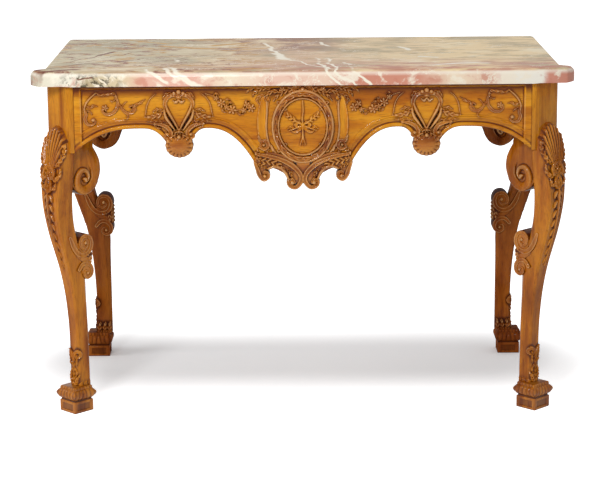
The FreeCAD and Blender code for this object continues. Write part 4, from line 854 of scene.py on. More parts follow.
SPRIG = (
    ("hollow", 4.5, 0, (3, 6, 8, 8, 7, 6, 4), (-113, -44), (-118, -56), (-130, -68), (-145, -68),
     (-152, -58), (-146, -50), (-138, -54)),
    ("leaf", 4.5, 3.5, (4, 8, 9, 2), (-140, -66), (-152, -50), (-164, -44), (-178, -34)),
    ("leaf", 3.5, 2, (4, 6, 2), (-128, -68), (-134, -80), (-126, -88)),
    ("leaf", 3.5, 2, (3, 6, 2), (-118, -56), (-126, -44), (-134, -40)),
)

def spray(relief, x, sign, sprig=True):
    """The spray beside a post that stands at a distance from the middle."""
    draw(relief, SPRAY + SPRIG if sprig else SPRAY, sign * x, RAIL_TOP, [sign])
    flower(relief, sign * (x - 78), RAIL_TOP - 56, 9, 6)
    dome(relief, sign * (x - 48), RAIL_TOP - 86, 4.5, 6)

print("a spray has", len(SPRAY), "strokes and its sprig", len(SPRIG))

# %% [markdown]
# Over each drop of the edge stand crossed straps in the shape of a lyre, with a winged leaf and a
# long arc on each side, and six beads at their head.

# %% Lyres
LYRE = (
    ("hollow", 7, 0, (7, 9, 11, 11, 10, 5), (-4, -32), (9, -25), (25, -29), (34, -43), (32, -58),
     (36, -72)),
    ("ridge", 8, 0, (8, 11, 9, 8, 6), (32, -50), (26, -66), (17, -82), (8, -98), (1, -112)),
    ("round", 6.5, 0, (5, 9, 8, 4), (36, -62), (32, -80), (21, -97), (10, -112)),
    ("round", 6.5, 0, (5, 8, 4), (0, -36), (7, -43), (14, -38)),
    ("leaf", 5.5, 3, (4, 9, 9, 3), (14, -24), (24, -20), (34, -26), (40, -36)),
    ("leaf", 5.5, 4, (8, 17, 14, 2), (34, -62), (46, -73), (62, -78), (84, -80)),
    ("leaf", 5, 3, (4, 10, 2), (40, -62), (52, -60), (66, -66)),
    ("leaf", 5, 4, (6, 12, 9, 2), (28, -86), (44, -92), (62, -90), (80, -90)),
    ("leaf", 5, 3, (6, 10, 3), (22, -100), (34, -104), (48, -102)),
    ("ridge", 4, 0, (3, 4.5, 5, 5, 3), (57, -22), (70, -34), (78, -50), (81, -66), (84, -80)),
    ("hollow", 10, 0, (4, 8, 10, 11, 11, 10, 8, 5), (62, -96), (48, -97), (35, -101), (25, -109),
     (20, -121), (26, -131), (36, -128), (32, -119)),
    ("leaf", 6, 2, (4, 9, 3), (62, -98), (54, -106), (44, -108)),
)
LYRE_BEADS = ((0, -18, 7), (-11, -21, 5.5), (11, -21, 5.5), (0, -30, 4.5), (-18, -26, 4), (18, -26, 4))

def lyre(relief, x):
    """Crossed straps in the shape of a lyre round a place."""
    draw(relief, LYRE, x, RAIL_TOP)
    for sign in (1, -1):
        dome(relief, x + sign * 29, RAIL_TOP - 122, 4.5, 12)
    for dx, dz, radius in LYRE_BEADS:
        dome(relief, x + dx, RAIL_TOP + dz, radius, 6.5)

print("a lyre has", len(LYRE), "strokes on each side")

# %% [markdown]
# Under each lyre hangs a round drop with fine flutes at its rim, like a scallop shell, with a few
# leaves over its hub. Between lyre and cartouche hangs a branch of seven blossoms.

# %% Shells and garlands
SHELL_LEAVES = (
    ("leaf", 13, 3, (10, 11, 10, 3), (0, -114), (9, -122), (18, -133), (22, -146)),
    ("ridge", 14, 0, (8, 8, 3), (0, -124), (7, -134), (11, -144)),
)
BRANCH = (
    ("round", 4, 0, (3, 3, 3.5, 3.5, 3, 3), (-66, -22), (-84, -28), (-104, -44), (-130, -62), (-155, -62),
     (-178, -54)),
)
BLOSSOMS = ((-92, -33, 8, 0), (-105, -46, 12, 0.4), (-118, -56, 8, 0.9), (-131, -62, 13, 0.2),
            (-168, -50, 9, 0.5), (-178, -58, 12, 0.1), (-160, -64, 8, 0.8))
TWIGS = (((-84, -28), (-92, -22), (-100, -26)), ((-118, -52), (-126, -44), (-136, -48)),
         ((-140, -66), (-150, -74), (-160, -74)), ((-104, -52), (-108, -64), (-118, -70)),
         ((-160, -58), (-166, -42), (-176, -40)), ((-112, -40), (-120, -36), (-128, -38)))

def scallop(relief, x):
    """The shell pendant under a lyre: flutes at the rim of a drop, and leaves over its hub."""
    middle = RAIL_TOP - 150
    gap = np.hypot((relief.x - x) / 35, (relief.z - middle) / 31)
    turn = np.arctan2(relief.x - x, middle - relief.z)
    flutes = np.abs(np.cos(turn * 8)) ** 0.7
    rim = np.clip((gap - 0.52) * 4.5, 0, 1)
    high = 12 * np.sqrt(np.clip(1 - gap ** 2, 0, 1)) ** 0.8 + 2.2 * (1 - rim) - 3.4 * rim * (1 - flutes)
    relief.add((1 - gap) * 32 + (flutes - 1) * 1.2, high)
    draw(relief, SHELL_LEAVES, x, RAIL_TOP)
    dome(relief, x, RAIL_TOP - 128, 6, 16)

def garland(relief, sign):
    """A branch of blossoms between a lyre and the cartouche."""
    x = sign * SHELL_AT
    twigs = tuple(("leaf", 4.5, 2.5, (3, 8, 2), *points) for points in TWIGS)
    draw(relief, BRANCH + twigs, x, RAIL_TOP, [sign])
    for dx, dz, radius, turn in BLOSSOMS:
        flower(relief, x + sign * dx, RAIL_TOP + dz, radius, 6.5, 5 + (radius > 10), turn)

print(len(BLOSSOMS), "blossoms on each garland")

# %% [markdown]
# With all motifs known, the boards can be cut, each with the shade of its own ornament. The
# cartouche shades its board too, by the oval of its outline.

# %% Cut the rails
CARTOUCHE_AT = 739.0

def side_sprays(relief):
    """The two sprays of a side rail."""
    for sign in (1, -1):
        spray(relief, SIDE_POST_AT, sign, sprig=False)

def side_ornament(relief):
    """Everything carved on a side rail."""
    side_sprays(relief)
    lyre(relief, 0)
    scallop(relief, 0)

def front_ornament(relief):
    """Everything carved on the front rail, and the outline of the cartouche."""
    for sign in (1, -1):
        spray(relief, POST_AT, sign)
        lyre(relief, sign * SHELL_AT)
        scallop(relief, sign * SHELL_AT)
        garland(relief, sign)
    # The outline of the cartouche only sets a ring of painted shade on the board.
    gap = np.hypot(relief.x / 108, (relief.z - CARTOUCHE_AT) / 105)
    relief.add(4 - np.abs(1 - gap) * 100, np.ones(gap.shape))

rail = board("front_rail_board", FRONT_EDGE, POST_AT, front_ornament, 560, 76)
settle(rail, WOOD["golden", "X"], "walnut", ["front_rail"], *FACES["front"])
for side in ("left", "right"):
    rail = board(f"side_rail_board_{side}", SIDE_EDGE, SIDE_POST_AT, side_ornament, 236, 76)
    settle(rail, WOOD["golden", "Y"], "walnut", [f"side_rail_{side}"], *FACES[side])

# %% [markdown]
# The motifs themselves are cut as separate pieces, as they are in the solid model. Each fills a
# box round its drawing, in mm from the middle and below the top of the rail, and is cut 1 mm into
# the sunk ground. The shells hang proud of the edge, so they are cut from thicker wood.

# %% Cut the motifs of the rails
def ornament(name, solid, face, x_span, z_span, step, drawing, depth=PANEL_SINK + 1, ground=PANEL_SINK,
             tone="carved", grain=None, slot="carved_walnut"):
    """Cut a motif and settle it on a face of the frame, its grain along the rail unless given."""
    piece = carve(name, x_span, z_span, step, drawing, depth, ground)
    grain = grain or ("X" if face == "front" else "Y")
    settle(piece, WOOD[tone, grain], slot, [solid], *FACES[face])

def below(low, high):
    """A stretch of heights given as depths below the top of the rails."""
    return RAIL_TOP - low, RAIL_TOP - high

for side, sign in (("left", -1), ("right", 1)):
    def along(low, high):
        return (low, high) if sign > 0 else (-high, -low)
    ornament(f"corner_spray_carving_{side}", f"corner_spray_{side}", "front", along(382, 548),
             below(104, 10), 1.4, lambda relief: spray(relief, POST_AT, sign))
    ornament(f"lyre_carving_{side}", f"strapwork_{side}", "front", along(215, 395),
             below(146, 10), 1.4, lambda relief: lyre(relief, sign * SHELL_AT))
    ornament(f"shell_carving_{side}", f"shell_pendant_{side}", "front", along(265, 345),
             below(184, 110), 1.2, lambda relief: scallop(relief, sign * SHELL_AT), depth=14, ground=0)
    ornament(f"garland_carving_{side}", f"flower_garland_{side}", "front", along(108, 240),
             below(80, 10), 1.3, lambda relief: garland(relief, sign))

for side in ("left", "right"):
    ornament(f"side_lyre_carving_{side}", f"side_strapwork_{side}", side, (-92, 92),
             below(146, 10), 1.6, lambda relief: lyre(relief, 0))
    ornament(f"side_shell_carving_{side}", f"side_shell_{side}", side, (-40, 40),
             below(184, 110), 1.3, lambda relief: scallop(relief, 0), depth=14, ground=0)
    ornament(f"side_spray_carving_{side}", f"side_sprays_{side}", side, (-220, 220),
             below(104, 10), 1.6, side_sprays)

# %% [markdown]
# The cartouche is the showpiece of the front rail. In its oval field hangs a common trophy of its
# time: a cord with a tassel, tied in a bow over two crossed sprays. The sprays stand on a field
# that swells a little towards its middle.

# %% Trophy in the field
BOW = (
    ("hollow", 6, 0, (4, 7, 7, 7, 4), (0, 4), (10, 10), (18, 4), (10, -2), (0, 2)),
    ("hollow", 5.5, 0, (4, 7, 7, 3), (0, 2), (8, -8), (20, -14), (28, -10)),
    ("round", 4.5, 0, (3, 4, 4, 2.5), (-34, -10), (-8, 0), (14, 12), (36, 28)),
    ("leaf", 4.5, 2.5, (3, 9, 3), (-20, -5), (-30, -2), (-38, -6)),
    ("round", 5, 0, (3.5, 3.5, 7), (0, 2), (0, -22), (0, -30)),
) + tuple(("ridge", 5, 0, (5, 5, 4), (dx * 0.4, -30), (dx, -38), (dx * 1.5, -46)) for dx in (0, 4))
CORD = (
    ("round", 4.5, 0, (3.5, 3.5, 3.5, 4), (0, 64), (1, 40), (-1, 20), (0, 6)),
)
SPRAY_LEAVES = tuple(("ridge", 4.5, 0, (4, 8, 2), (dx, dz), (dx + out, dz + rise))
                     for dx, dz in ((18, 13), (26, 19), (34, 25)) for out, rise in ((6, 13), (8, -1)))

def trophy(relief):
    """A cord with a tassel, a bow, and two crossed leafy sprays on a swelling oval field."""
    gap = np.hypot(relief.x / 57, (relief.z - CARTOUCHE_AT) / 67)
    relief.add((1 - gap) * 57, 2 + 1.5 * np.clip(1 - gap ** 2, 0, 1))
    marks = Relief(relief.x, relief.z)
    draw(marks, BOW + SPRAY_LEAVES, z=CARTOUCHE_AT)
    draw(marks, CORD, z=CARTOUCHE_AT, signs=[1])
    dome(marks, 0, CARTOUCHE_AT + 3, 4, 5.5)
    relief.high += np.where(marks.inside > 0, marks.high, 0)

print("the trophy has", len(BOW + CORD + SPRAY_LEAVES), "kinds of stroke")

# %% [markdown]
# Round the field goes a wreath: a band of small overlapping leaves between two round mouldings,
# tied across at four places. The leaves are one formula, a wave that runs round the oval and
# trails back at both edges of the band.

# %% Wreath
def wreath(relief):
    """A band of overlapping leaves between two round mouldings, tied across at four places."""
    dx, dz = relief.x, relief.z - CARTOUCHE_AT
    gap = np.minimum((1 - np.hypot(dx / 78, dz / 93)) * 83, (np.hypot(dx / 57, dz / 67) - 1) * 61)
    relief.add(gap, np.full(gap.shape, 6.0))
    oval_ring(relief, 0, CARTOUCHE_AT, 73.5, 88.5, 9, 11)
    oval_ring(relief, 0, CARTOUCHE_AT, 60.5, 70.5, 6, 12)
    angle = np.arctan2(dz / 81, dx / 67.5)
    run = np.abs(((np.degrees(angle) + 90) % 360) - 180)
    across = (np.hypot(dx / 67.5, dz / 80.5) - 1) * 74 / 8
    leaf = np.sqrt(np.clip(1 - across ** 2, 0, 1)) * (0.88 + 0.12 * np.cos(run * 0.34 - np.abs(across) * 3.2))
    leaf = leaf * (1 - 0.16 * np.exp(-(across * 5) ** 2))
    relief.add(np.where(np.abs(across) < 1, 2.0, -1.0), 13.0 * leaf)
    for turn in (40, 140, 220, 320):
        x, z = math.cos(math.radians(turn)), math.sin(math.radians(turn))
        band = ("hollow", 14, 0, (9, 9), (x * 56, z * 68), (x * 79, z * 94))
        draw(relief, [band], z=CARTOUCHE_AT, signs=[1])

print("wreath ready")

# %% [markdown]
# Flat straps with a thin ridge stand on each side of the wreath. They end below in leaf scrolls,
# and above them spreads the foliage of the crest with a blossom on each side and a berry between.

# %% Straps and crest
STRAPS = (
    ("hollow", 3.5, 0, (24, 25, 24, 22, 18), (92, 66), (98, 30), (100, 0), (98, -26), (93, -46)),
    ("ridge", 5, 0, (4, 4, 4, 4), (104, 62), (110, 30), (111, 0), (108, -28)),
)
CREST = (
    ("round", 6, 0, (7, 7, 6, 7, 8), (88, 62), (88, 36), (90, 0), (86, -34), (74, -60)),
    ("hollow", 10, 0, (5, 9, 10, 10, 10, 9, 7, 5), (110, -22), (104, -36), (92, -36), (86, -46), (94, -56),
     (104, -52), (102, -43), (95, -45)),
    ("leaf", 7, 3, (5, 10, 10, 3), (104, -50), (112, -58), (108, -68), (96, -68)),
    ("leaf", 7, 3, (6, 12, 3), (84, -52), (90, -64), (104, -72)),
    ("ridge", 7, 0, (5, 8, 8, 4), (78, -46), (70, -62), (58, -74), (40, -84)),
    ("leaf", 8, 6.5, (16, 18, 18, 15, 5), (0, 96), (22, 94), (44, 88), (60, 78), (72, 64)),
    ("leaf", 8.5, 4, (6, 14, 13, 10, 7, 4), (58, 86), (74, 88), (86, 80), (92, 68), (86, 62), (80, 68)),
    ("leaf", 8, 5, (6, 15, 15, 11, 3), (78, 94), (94, 96), (108, 92), (120, 82), (124, 72)),
    ("leaf", 7, 3.5, (5, 12, 11, 3), (92, 80), (104, 76), (112, 66), (108, 56)),
    ("leaf", 6, 3, (4, 11, 9, 2), (108, 94), (122, 96), (134, 90), (140, 82)),
    ("hollow", 12, 0, (4, 7, 8, 7, 4), (4, 92), (14, 98), (24, 94), (18, 86), (8, 90)),
    ("hollow", 11, 0, (4, 7, 3), (4, 90), (12, 82), (20, 78)),
)

def strap_bands(relief):
    """The flat straps beside the wreath, with a thin ridge near the outer edge."""
    draw(relief, STRAPS, z=CARTOUCHE_AT)

def crest(relief):
    """Leaf scrolls under the straps and the foliage of the crest."""
    draw(relief, CREST, z=CARTOUCHE_AT)
    for sign in (1, -1):
        dome(relief, sign * 97, CARTOUCHE_AT - 46, 4, 10)
        flower(relief, sign * 50, CARTOUCHE_AT + 92, 9, 10, 5, 0.3)
    dome(relief, 0, CARTOUCHE_AT + 93, 6, 14)

print("straps and crest have", len(STRAPS), "and", len(CREST), "strokes on each side")

# %% [markdown]
# Field, wreath and straps stay separate pieces, as they are in the solid model.

# %% Cut the cartouche
def around(low, high):
    """A stretch of heights given from the middle of the cartouche."""
    return CARTOUCHE_AT - low, CARTOUCHE_AT + high

ornament("cartouche_field_carving", "cartouche_field", "front", (-60, 60), around(70, 70), 1.2, trophy,
         tone="golden", slot="walnut")
ornament("cartouche_wreath_carving", "cartouche_wreath", "front", (-82, 82), around(97, 97), 1.2, wreath)
ornament("cartouche_strap_bands", "cartouche_straps", "front", (-120, 120), around(62, 84), 1.4, strap_bands,
         tone="golden", grain="Z")
ornament("cartouche_crest_carving", "cartouche_straps", "front", (-145, 145),
         (CARTOUCHE_AT - 92, RAIL_TOP - 1), 1.4, crest)

# %% [markdown]
# Below the cartouche hang two leafy C-scrolls, back to back. Each starts in a small curl under the
# strap, sweeps down and inwards and rolls up in a large curl at the middle. They are nearly as
# thick as the rail, so the same drawing is cut right through, and leaves lie along the bands. A
# thin web joins the bands, where the real carver left the ground standing.

# %% Pendant scrolls
PENDANT_WEB = (
    ("round", 4, 0, (26, 40, 40, 40, 30, 20), (108, 655), (84, 656), (62, 652), (40, 640), (22, 622),
     (14, 606)),
    ("round", 4, 0, (30, 26, 8), (2, 652), (2, 630), (4, 610)),
    ("round", 4, 0, (26, 24, 16), (110, 650), (104, 634), (100, 618)),
)
PENDANTS = (
    ("hollow", 10, 0, (5, 9, 11, 12, 13, 14, 13, 12, 12, 11, 9, 7), (116, 672), (96, 668), (70, 662),
     (44, 652), (22, 638), (6, 618), (6, 600), (18, 587), (32, 590), (37, 601), (27, 607), (22, 599)),
    ("hollow", 9, 0, (8, 10, 12, 12, 11, 10, 8, 6), (119, 648), (113, 632), (108, 618), (98, 607),
     (87, 613), (88, 624), (97, 625), (98, 617)),
    ("round", 7, 0, (7, 10, 10, 9, 7), (86, 634), (72, 640), (56, 636), (44, 624), (37, 610)),
    ("leaf", 9, 6, (8, 20, 22, 18, 4), (114, 660), (96, 654), (76, 650), (58, 642), (44, 630)),
    ("leaf", 8, 3, (8, 16, 5), (112, 646), (100, 642), (90, 634)),
    ("leaf", 9, 3, (5, 12, 3), (40, 634), (30, 622), (26, 610)),
    ("leaf", 8, 3, (8, 14, 6), (118, 676), (110, 664), (104, 652)),
)

def pendants(relief):
    """Two C-scrolls on each side with leaves along them, over a thin web."""
    web = Relief(relief.x, relief.z)
    draw(web, PENDANT_WEB)
    relief.add(web.inside, np.full(web.inside.shape, 2.5))
    draw(relief, PENDANTS)
    for sign in (1, -1):
        dome(relief, sign * 27, 599, 6, 11)
        dome(relief, sign * 95, 616, 5, 10)

ornament("pendant_scroll_carving", "pendant_scrolls", "front", (-126, 126), (578, 680), 1.3, pendants,
         depth=26, ground=0)

# %% [markdown]
# A cabriole leg is sawn from one thick blank and shaped with spokeshave and gouge: a wide knee, a
# narrow shin with a ridge behind it, and a square ankle. Its shape is a run of sections from the
# foot up. It stands at its foot, with the knee towards -X, and is turned to its corner later.

# %% Sections of a leg
CORNERS = ("front_left", "front_right", "back_left", "back_right")
SHAFT_LOW, SHAFT_HIGH = 64, 741
SHIN_WIDE, KNEE_WIDE, BACK_KNEE_WIDE = 36, 78, 58
FOOT_INSET, BACK_FOOT_IN, BACK_FOOT_SET = 70, 61, 29
# Height, outer face, inner face, share of the knee's width, and chamfer of the leg's sections.
SECTIONS = np.array([
    (64, -4, 37, 0, 7), (104, -4, 37, 0, 7), (142, -4, 37, 0, 8), (180, -4.3, 37, 0, 8), (220, -6, 37, 0, 9),
    (260, -9, 37, 0.02, 11), (300, -13.5, 37.5, 0.05, 14), (340, -20, 38, 0.11, 17), (380, -29, 31, 0.17, 13),
    (420, -41, 14, 0.22, 8), (460, -53, 1, 0.29, 6), (500, -61.5, -8, 0.41, 6), (540, -66.5, -12.5, 0.57, 6),
    (580, -66, -14, 0.76, 6), (620, -61.5, -13, 0.93, 5), (660, -56, -12, 1, 4), (698, -48.5, -12, 1, 4),
    (737, -38.5, -12, 1, 4)])

def section(z, column):
    """One value of the leg's sections at any height."""
    line = smooth_line(np.column_stack([SECTIONS[:, 0], SECTIONS[:, column]]), 300)
    return np.interp(z, line[:, 0], line[:, 1])

def stand(corner):
    """Where a leg stands and how it is turned: its own +X points from its foot to the middle."""
    end, side = corner.split("_")
    sign = -1 if side == "left" else 1
    if end == "front":
        reach = FOOT_INSET * math.sqrt(2) / 2
        return (sign * (SIDE_FACE - reach), -FRONT_FACE + reach, 0), (45 if sign < 0 else 135)
    return (sign * (SIDE_FACE - BACK_FOOT_IN), FRONT_FACE - BACK_FOOT_SET, 0), (0 if sign < 0 else 180)

print("legs from", SECTIONS[0, 0], "to", SECTIONS[-1, 0], "mm; front feet at", stand(CORNERS[0])[0])

# %% [markdown]
# Over the knee lies a palmette between ruffled leaves, with two curls under it and a tail of
# bellflowers that dwindle down the shin. The drawing is as wide as the knee, so the narrower back
# legs get the same one. The ankle has a stem with two curls, and a crown of leaves over the foot.

# %% Carving of knee and ankle
KNEE = (
    ("leaf", 6.5, 6, (6, 15, 15, 4), (0.35, 640), (0.85, 654), (1.14, 676), (1.1, 702)),
    ("leaf", 6.5, 5, (6, 15, 14, 4), (0.2, 618), (0.6, 612), (0.95, 622), (1.05, 640)),
    ("leaf", 7, 4, (5, 12, 10, 3), (0.1, 600), (0.4, 588), (0.62, 592), (0.7, 604)),
    ("hollow", 10.5, 0, (6, 8, 8, 7, 5, 4), (0.05, 646), (0.3, 640), (0.48, 626), (0.36, 614), (0.2, 619),
     (0.26, 628)),
    ("hollow", 9, 0, (5, 7, 7, 6, 4), (0.04, 618), (0.2, 604), (0.24, 588), (0.1, 580), (0.04, 588)),
    ("leaf", 8, 5, (4, 12, 12, 2), (0, 650), (0, 622), (0, 590), (0, 566)),
)
ANKLE = (
    ("leaf", 5, 7, (15, 9, 9, 12), (0, 68), (0, 100), (0, 134), (0, 152)),
    ("hollow", 7.5, 0, (7, 9, 9, 8, 6, 4), (0, 138), (9, 154), (18, 158), (25, 150), (20, 142), (14, 147)),
    ("leaf", 5, 3, (5, 9, 2), (8, 146), (14, 134), (10, 120)),
    ("leaf", 4.5, 2.5, (4, 8, 2), (4, 112), (11, 102), (8, 90)),
    ("leaf", 6.5, 4, (9, 15, 3), (5, 68), (13, 84), (22, 96)),
)

def knee(relief, half):
    """A palmette over the knee between ruffled leaves, two curls, and a tail of bellflowers."""
    draw(relief, KNEE, wide=half)
    for k in range(5):
        lean = k * half * 0.25
        draw(relief, [("ridge", (5, 7.5, 8, 5.5), 0, (4, 9, 12, 7), (k * 1.2, 628), (lean * 0.5, 652),
                       (lean * 0.92, 690), (lean * 1.14, 733 - 2.2 * k * k))])
    for step in range(8):
        size = 1.35 - step * 0.11
        bell = [("ridge", 5 * size, 0, (3, 8 * size, 2), (0, 0), (7 * size, -7), (11 * size, -18)),
                ("ridge", 6.5 * size, 0, (3, 9 * size, 2), (0, 2), (0, -10), (0, -24))]
        draw(relief, bell, z=574 - step * 25)

def ankle(relief, crown):
    """A stem with two curls at its head, ruffled at its edges, and a crown of leaves at its root."""
    draw(relief, ANKLE)
    draw(relief, [("leaf", (4, crown * 0.2, crown * 0.32), 3, (13, 15, 4), (dx, 62), (dx, 62 + crown * 0.6),
                   (dx + 3, 62 + crown)) for dx in (25, 39, 52)])

print("knee and ankle drawn")

# %% [markdown]
# The mesh of a shaft is a grid rolled into a tube. Its rows follow the leg upwards, its columns go
# round it, and the carving is drawn on the outer face and its edges as if they were laid flat. The
# head of the shaft dips behind the cant of the post. The tube's ends are closed by one face each.

# %% Shaft of a leg
BEHIND_CANT = -29.5
ARRIS = 4.5
ROUND = (0, 0.06, 0.09, 0.25, 0.28, 0.72, 0.75, 0.91, 0.94, 1)     # shares of the way round, corner by corner

def close_ends(threshold):
    """Join the seam of a rolled grid and close its two open ends."""
    with editing():
        bpy.ops.mesh.remove_doubles(threshold=threshold)
    with editing("EDGE", "DESELECT"):
        bpy.ops.mesh.select_non_manifold()
        bpy.ops.mesh.edge_face_add()

def roll(around, z, half):
    """Places of a rolled grid's points on the leg's outline, and its outer face."""
    outer, inner = section(z, 1), section(z, 2)
    chamfer = np.minimum(section(z, 4), half - 2)
    behind = inner - chamfer
    xs = [inner, inner, behind, outer + ARRIS, outer, outer, outer + ARRIS, behind, inner, inner]
    ys = [0, half - chamfer, half, half, half - ARRIS, ARRIS - half, -half, -half, chamfer - half, 0]
    x, y = np.zeros(z.shape), np.zeros(z.shape)
    for i in range(len(ROUND) - 1):
        part = (around >= ROUND[i] - 1e-9) & (around <= ROUND[i + 1] + 1e-9)
        share = np.clip((around - ROUND[i]) / (ROUND[i + 1] - ROUND[i]), 0, 1)
        x = np.where(part, xs[i] + (xs[i + 1] - xs[i]) * share, x)
        y = np.where(part, ys[i] + (ys[i + 1] - ys[i]) * share, y)
    return x, y, outer

def leg_shaft(name, knee_wide, crown):
    """The shaped leg from its foot to its post, standing at the origin with its knee towards -X."""
    piece, around, up = add_grid(name, 132, 300)
    z = SHAFT_LOW + up * (SHAFT_HIGH - SHAFT_LOW)
    half = (SHIN_WIDE + (knee_wide - SHIN_WIDE) * section(z, 3)) / 2 - 1.2 * (z > POST_LOW)
    x, y, outer = roll(around, z, half)
    front = (around >= ROUND[4]) & (around <= ROUND[5])
    side = np.where(around < 0.5, 1.0, -1.0)
    flat = np.where(front, y, side * (half + np.maximum(x - outer, 0)))
    relief = Relief(flat, z)
    ankle(relief, crown)
    knee(relief, knee_wide / 2)
    sunk = np.clip((z - 738 + 38 * np.minimum(np.abs(y) / half, 1) ** 2) / 5, 0, 1)
    relief.high *= 1 - sunk
    x = np.where(x < BEHIND_CANT, x + (BEHIND_CANT - x) * sunk, x)
    relief.high *= np.where(z < 100, 1, np.clip(3.4 - np.abs(flat) / half * 1.6, 0, 1))
    on_arris = np.abs(x - outer) < ARRIS + 0.1
    lift_x = np.where(front, -1.0, np.where(on_arris, -0.6, 0.0))
    lift_y = np.where(front, 0.0, side * np.where(on_arris, 0.6, 1.0))
    # Painted shade in the carving's hollows, and a fainter painted highlight on its ridges.
    drop = soften(relief.high, 4) - relief.high
    hollow = np.where(drop > 0, drop * 0.75, drop * 0.24)
    set_points(piece, x + lift_x * relief.high, y + lift_y * relief.high, z, hollow)
    close_ends(threshold=0.0001)
    return piece

print("shaft of", len(ROUND) - 1, "faces round")

# %% [markdown]
# Above the shaft the blank is left square and is the post of the frame. On the front legs its outer
# corner is cut off to carry the line of the knee, and a fine hollow frames that cant. A box
# primitive is enough to start from: two bevels cut the corner, and a modifier softens the edges.
# Shaft and post stand for the same solid part, the leg.

# %% Posts and legs
POST_CANT = 0.055
BACK_CROWN, FRONT_CROWN = 34, 15

def cut_outer_edge(post):
    """Cant a front post's outer upright edge, with a fine hollow at each side of the cant."""
    with editing("VERT", "DESELECT"):
        bpy.ops.object.mode_set(mode="OBJECT")
        for point in post.data.vertices:
            point.select = abs(point.co.x) > 0.6 and point.co.y < -0.28
        bpy.ops.object.mode_set(mode="EDIT")
        bpy.ops.mesh.bevel(offset=POST_CANT, segments=1)
        bpy.ops.mesh.bevel(offset=0.004, segments=3, profile=0.1)

def leg_post(name, sign, front):
    """The square post over a leg, its outer corner cut off on a front leg, with softened edges."""
    bpy.ops.object.select_all(action="DESELECT")
    middle = (SIDE_FACE + POST_AT) / 2000
    depth = (FRONT_FACE + SIDE_POST_AT) / 2000
    bpy.ops.mesh.primitive_cube_add(
        size=1, location=(sign * middle, -depth if front else depth, (RAIL_TOP + POST_LOW) / 2000),
        scale=(POST_SIDE / 1000, POST_SIDE / 1000, (RAIL_TOP - POST_LOW) / 1000))
    post = bpy.context.object
    post.name = post.data.name = name
    bpy.ops.object.transform_apply(location=True, rotation=False, scale=True)
    if front:
        cut_outer_edge(post)
    soft = post.modifiers.new("soft_edges", "BEVEL")
    soft.width = 0.0012
    soft.segments = 2
    bpy.ops.object.modifier_apply(modifier="soft_edges")
    return post

# The back legs and their posts, feet, brackets and scrolls take the shaded walnut: painted shade, and age.
for corner in CORNERS:
    front = corner.startswith("front")
    shaft = leg_shaft(f"cabriole_leg_{corner}", KNEE_WIDE if front else BACK_KNEE_WIDE,
                      FRONT_CROWN if front else BACK_CROWN)
    post = leg_post(f"post_{corner}", -1 if corner.endswith("left") else 1, front)
    settle(shaft, WOOD["brown" if front else "shaded", "Z"], "walnut", [f"leg_{corner}"],
           *stand(corner), angle=40)
    settle(post, WOOD["amber" if front else "shaded", "Z"], "walnut", [f"leg_{corner}"], angle=40)

# %% [markdown]
# A foot is cut square: a plinth with sunk panels, a neck, a cushion carved with gadroons, and a
# collar under the leg. It is a rolled grid again. Each row has a half side and a softness of its
# corners, and the gadroons are slanting ribs that swell and fade with the cushion, with a bud at
# each corner.

# %% Outline of a foot
# Height, half side, corner radius and depth of the gadroons of the foot's rows.
FOOT_ROWS = np.array((
    (0, 29.2, 1, 0), (1, 30, 1, 0), (6.3, 30, 1, 0), (6.8, 30, 1, 0), (23.2, 30, 1, 0), (23.7, 30, 1, 0),
    (29, 30, 1, 0), (30, 29.3, 1, 0), (30.3, 27.6, 1, 0), (32.5, 27.2, 1.5, 0), (34.5, 28.2, 2, 0),
    (36, 31, 5, 0.8), (38, 34, 7, 2.2), (42, 36.8, 9, 3.4), (47, 37.4, 10, 3.9), (52, 36.8, 9, 3.6),
    (56, 34.5, 7, 2.6), (58.5, 31.8, 5, 1.2), (59.6, 29.6, 2, 0.6), (61, 30.4, 2, 1.8), (63.5, 30.6, 2, 2.2),
    (65.5, 29.4, 2, 2), (66.6, 27, 2, 0.5)))
PLINTH_PANEL = (6.5, 23.5)
PANEL_HALF, PLINTH_SINK = 21, 2.5
COLLAR_LOW, ROW_STEP = 59, 1.6

def foot_heights():
    """Heights of the foot's grid rows: all of its listed rows and even steps between them."""
    heights = [0]
    for low, high in zip(FOOT_ROWS[:, 0], FOOT_ROWS[1:, 0]):
        steps = max(1, round((high - low) / ROW_STEP))
        heights += list(low + (high - low) * (np.arange(steps) + 1) / steps)
    return np.array(heights)

def rounded_square(angle, half, bend):
    """Places round a square of some half side whose corners have a radius."""
    c, s = np.cos(angle), np.sin(angle)
    reach = half / np.maximum(np.abs(c), np.abs(s))
    x, y = reach * c, reach * s
    inner = half - bend
    over_x, over_y = np.abs(x) - inner, np.abs(y) - inner
    corner = (over_x > 0) & (over_y > 0)
    scale = np.where(corner, bend / np.maximum(np.hypot(over_x, over_y), 1e-6), 1)
    x = np.where(corner, np.sign(x) * (inner + over_x * scale), x)
    y = np.where(corner, np.sign(y) * (inner + over_y * scale), y)
    return x, y

print(len(foot_heights()), "rows of points on a foot")

# %% [markdown]
# The ribs and the sunk panels are cut into the outline, straight in from each side. Shade is
# painted dark in what is cut deep: the grooves, the neck and the sunk panels.

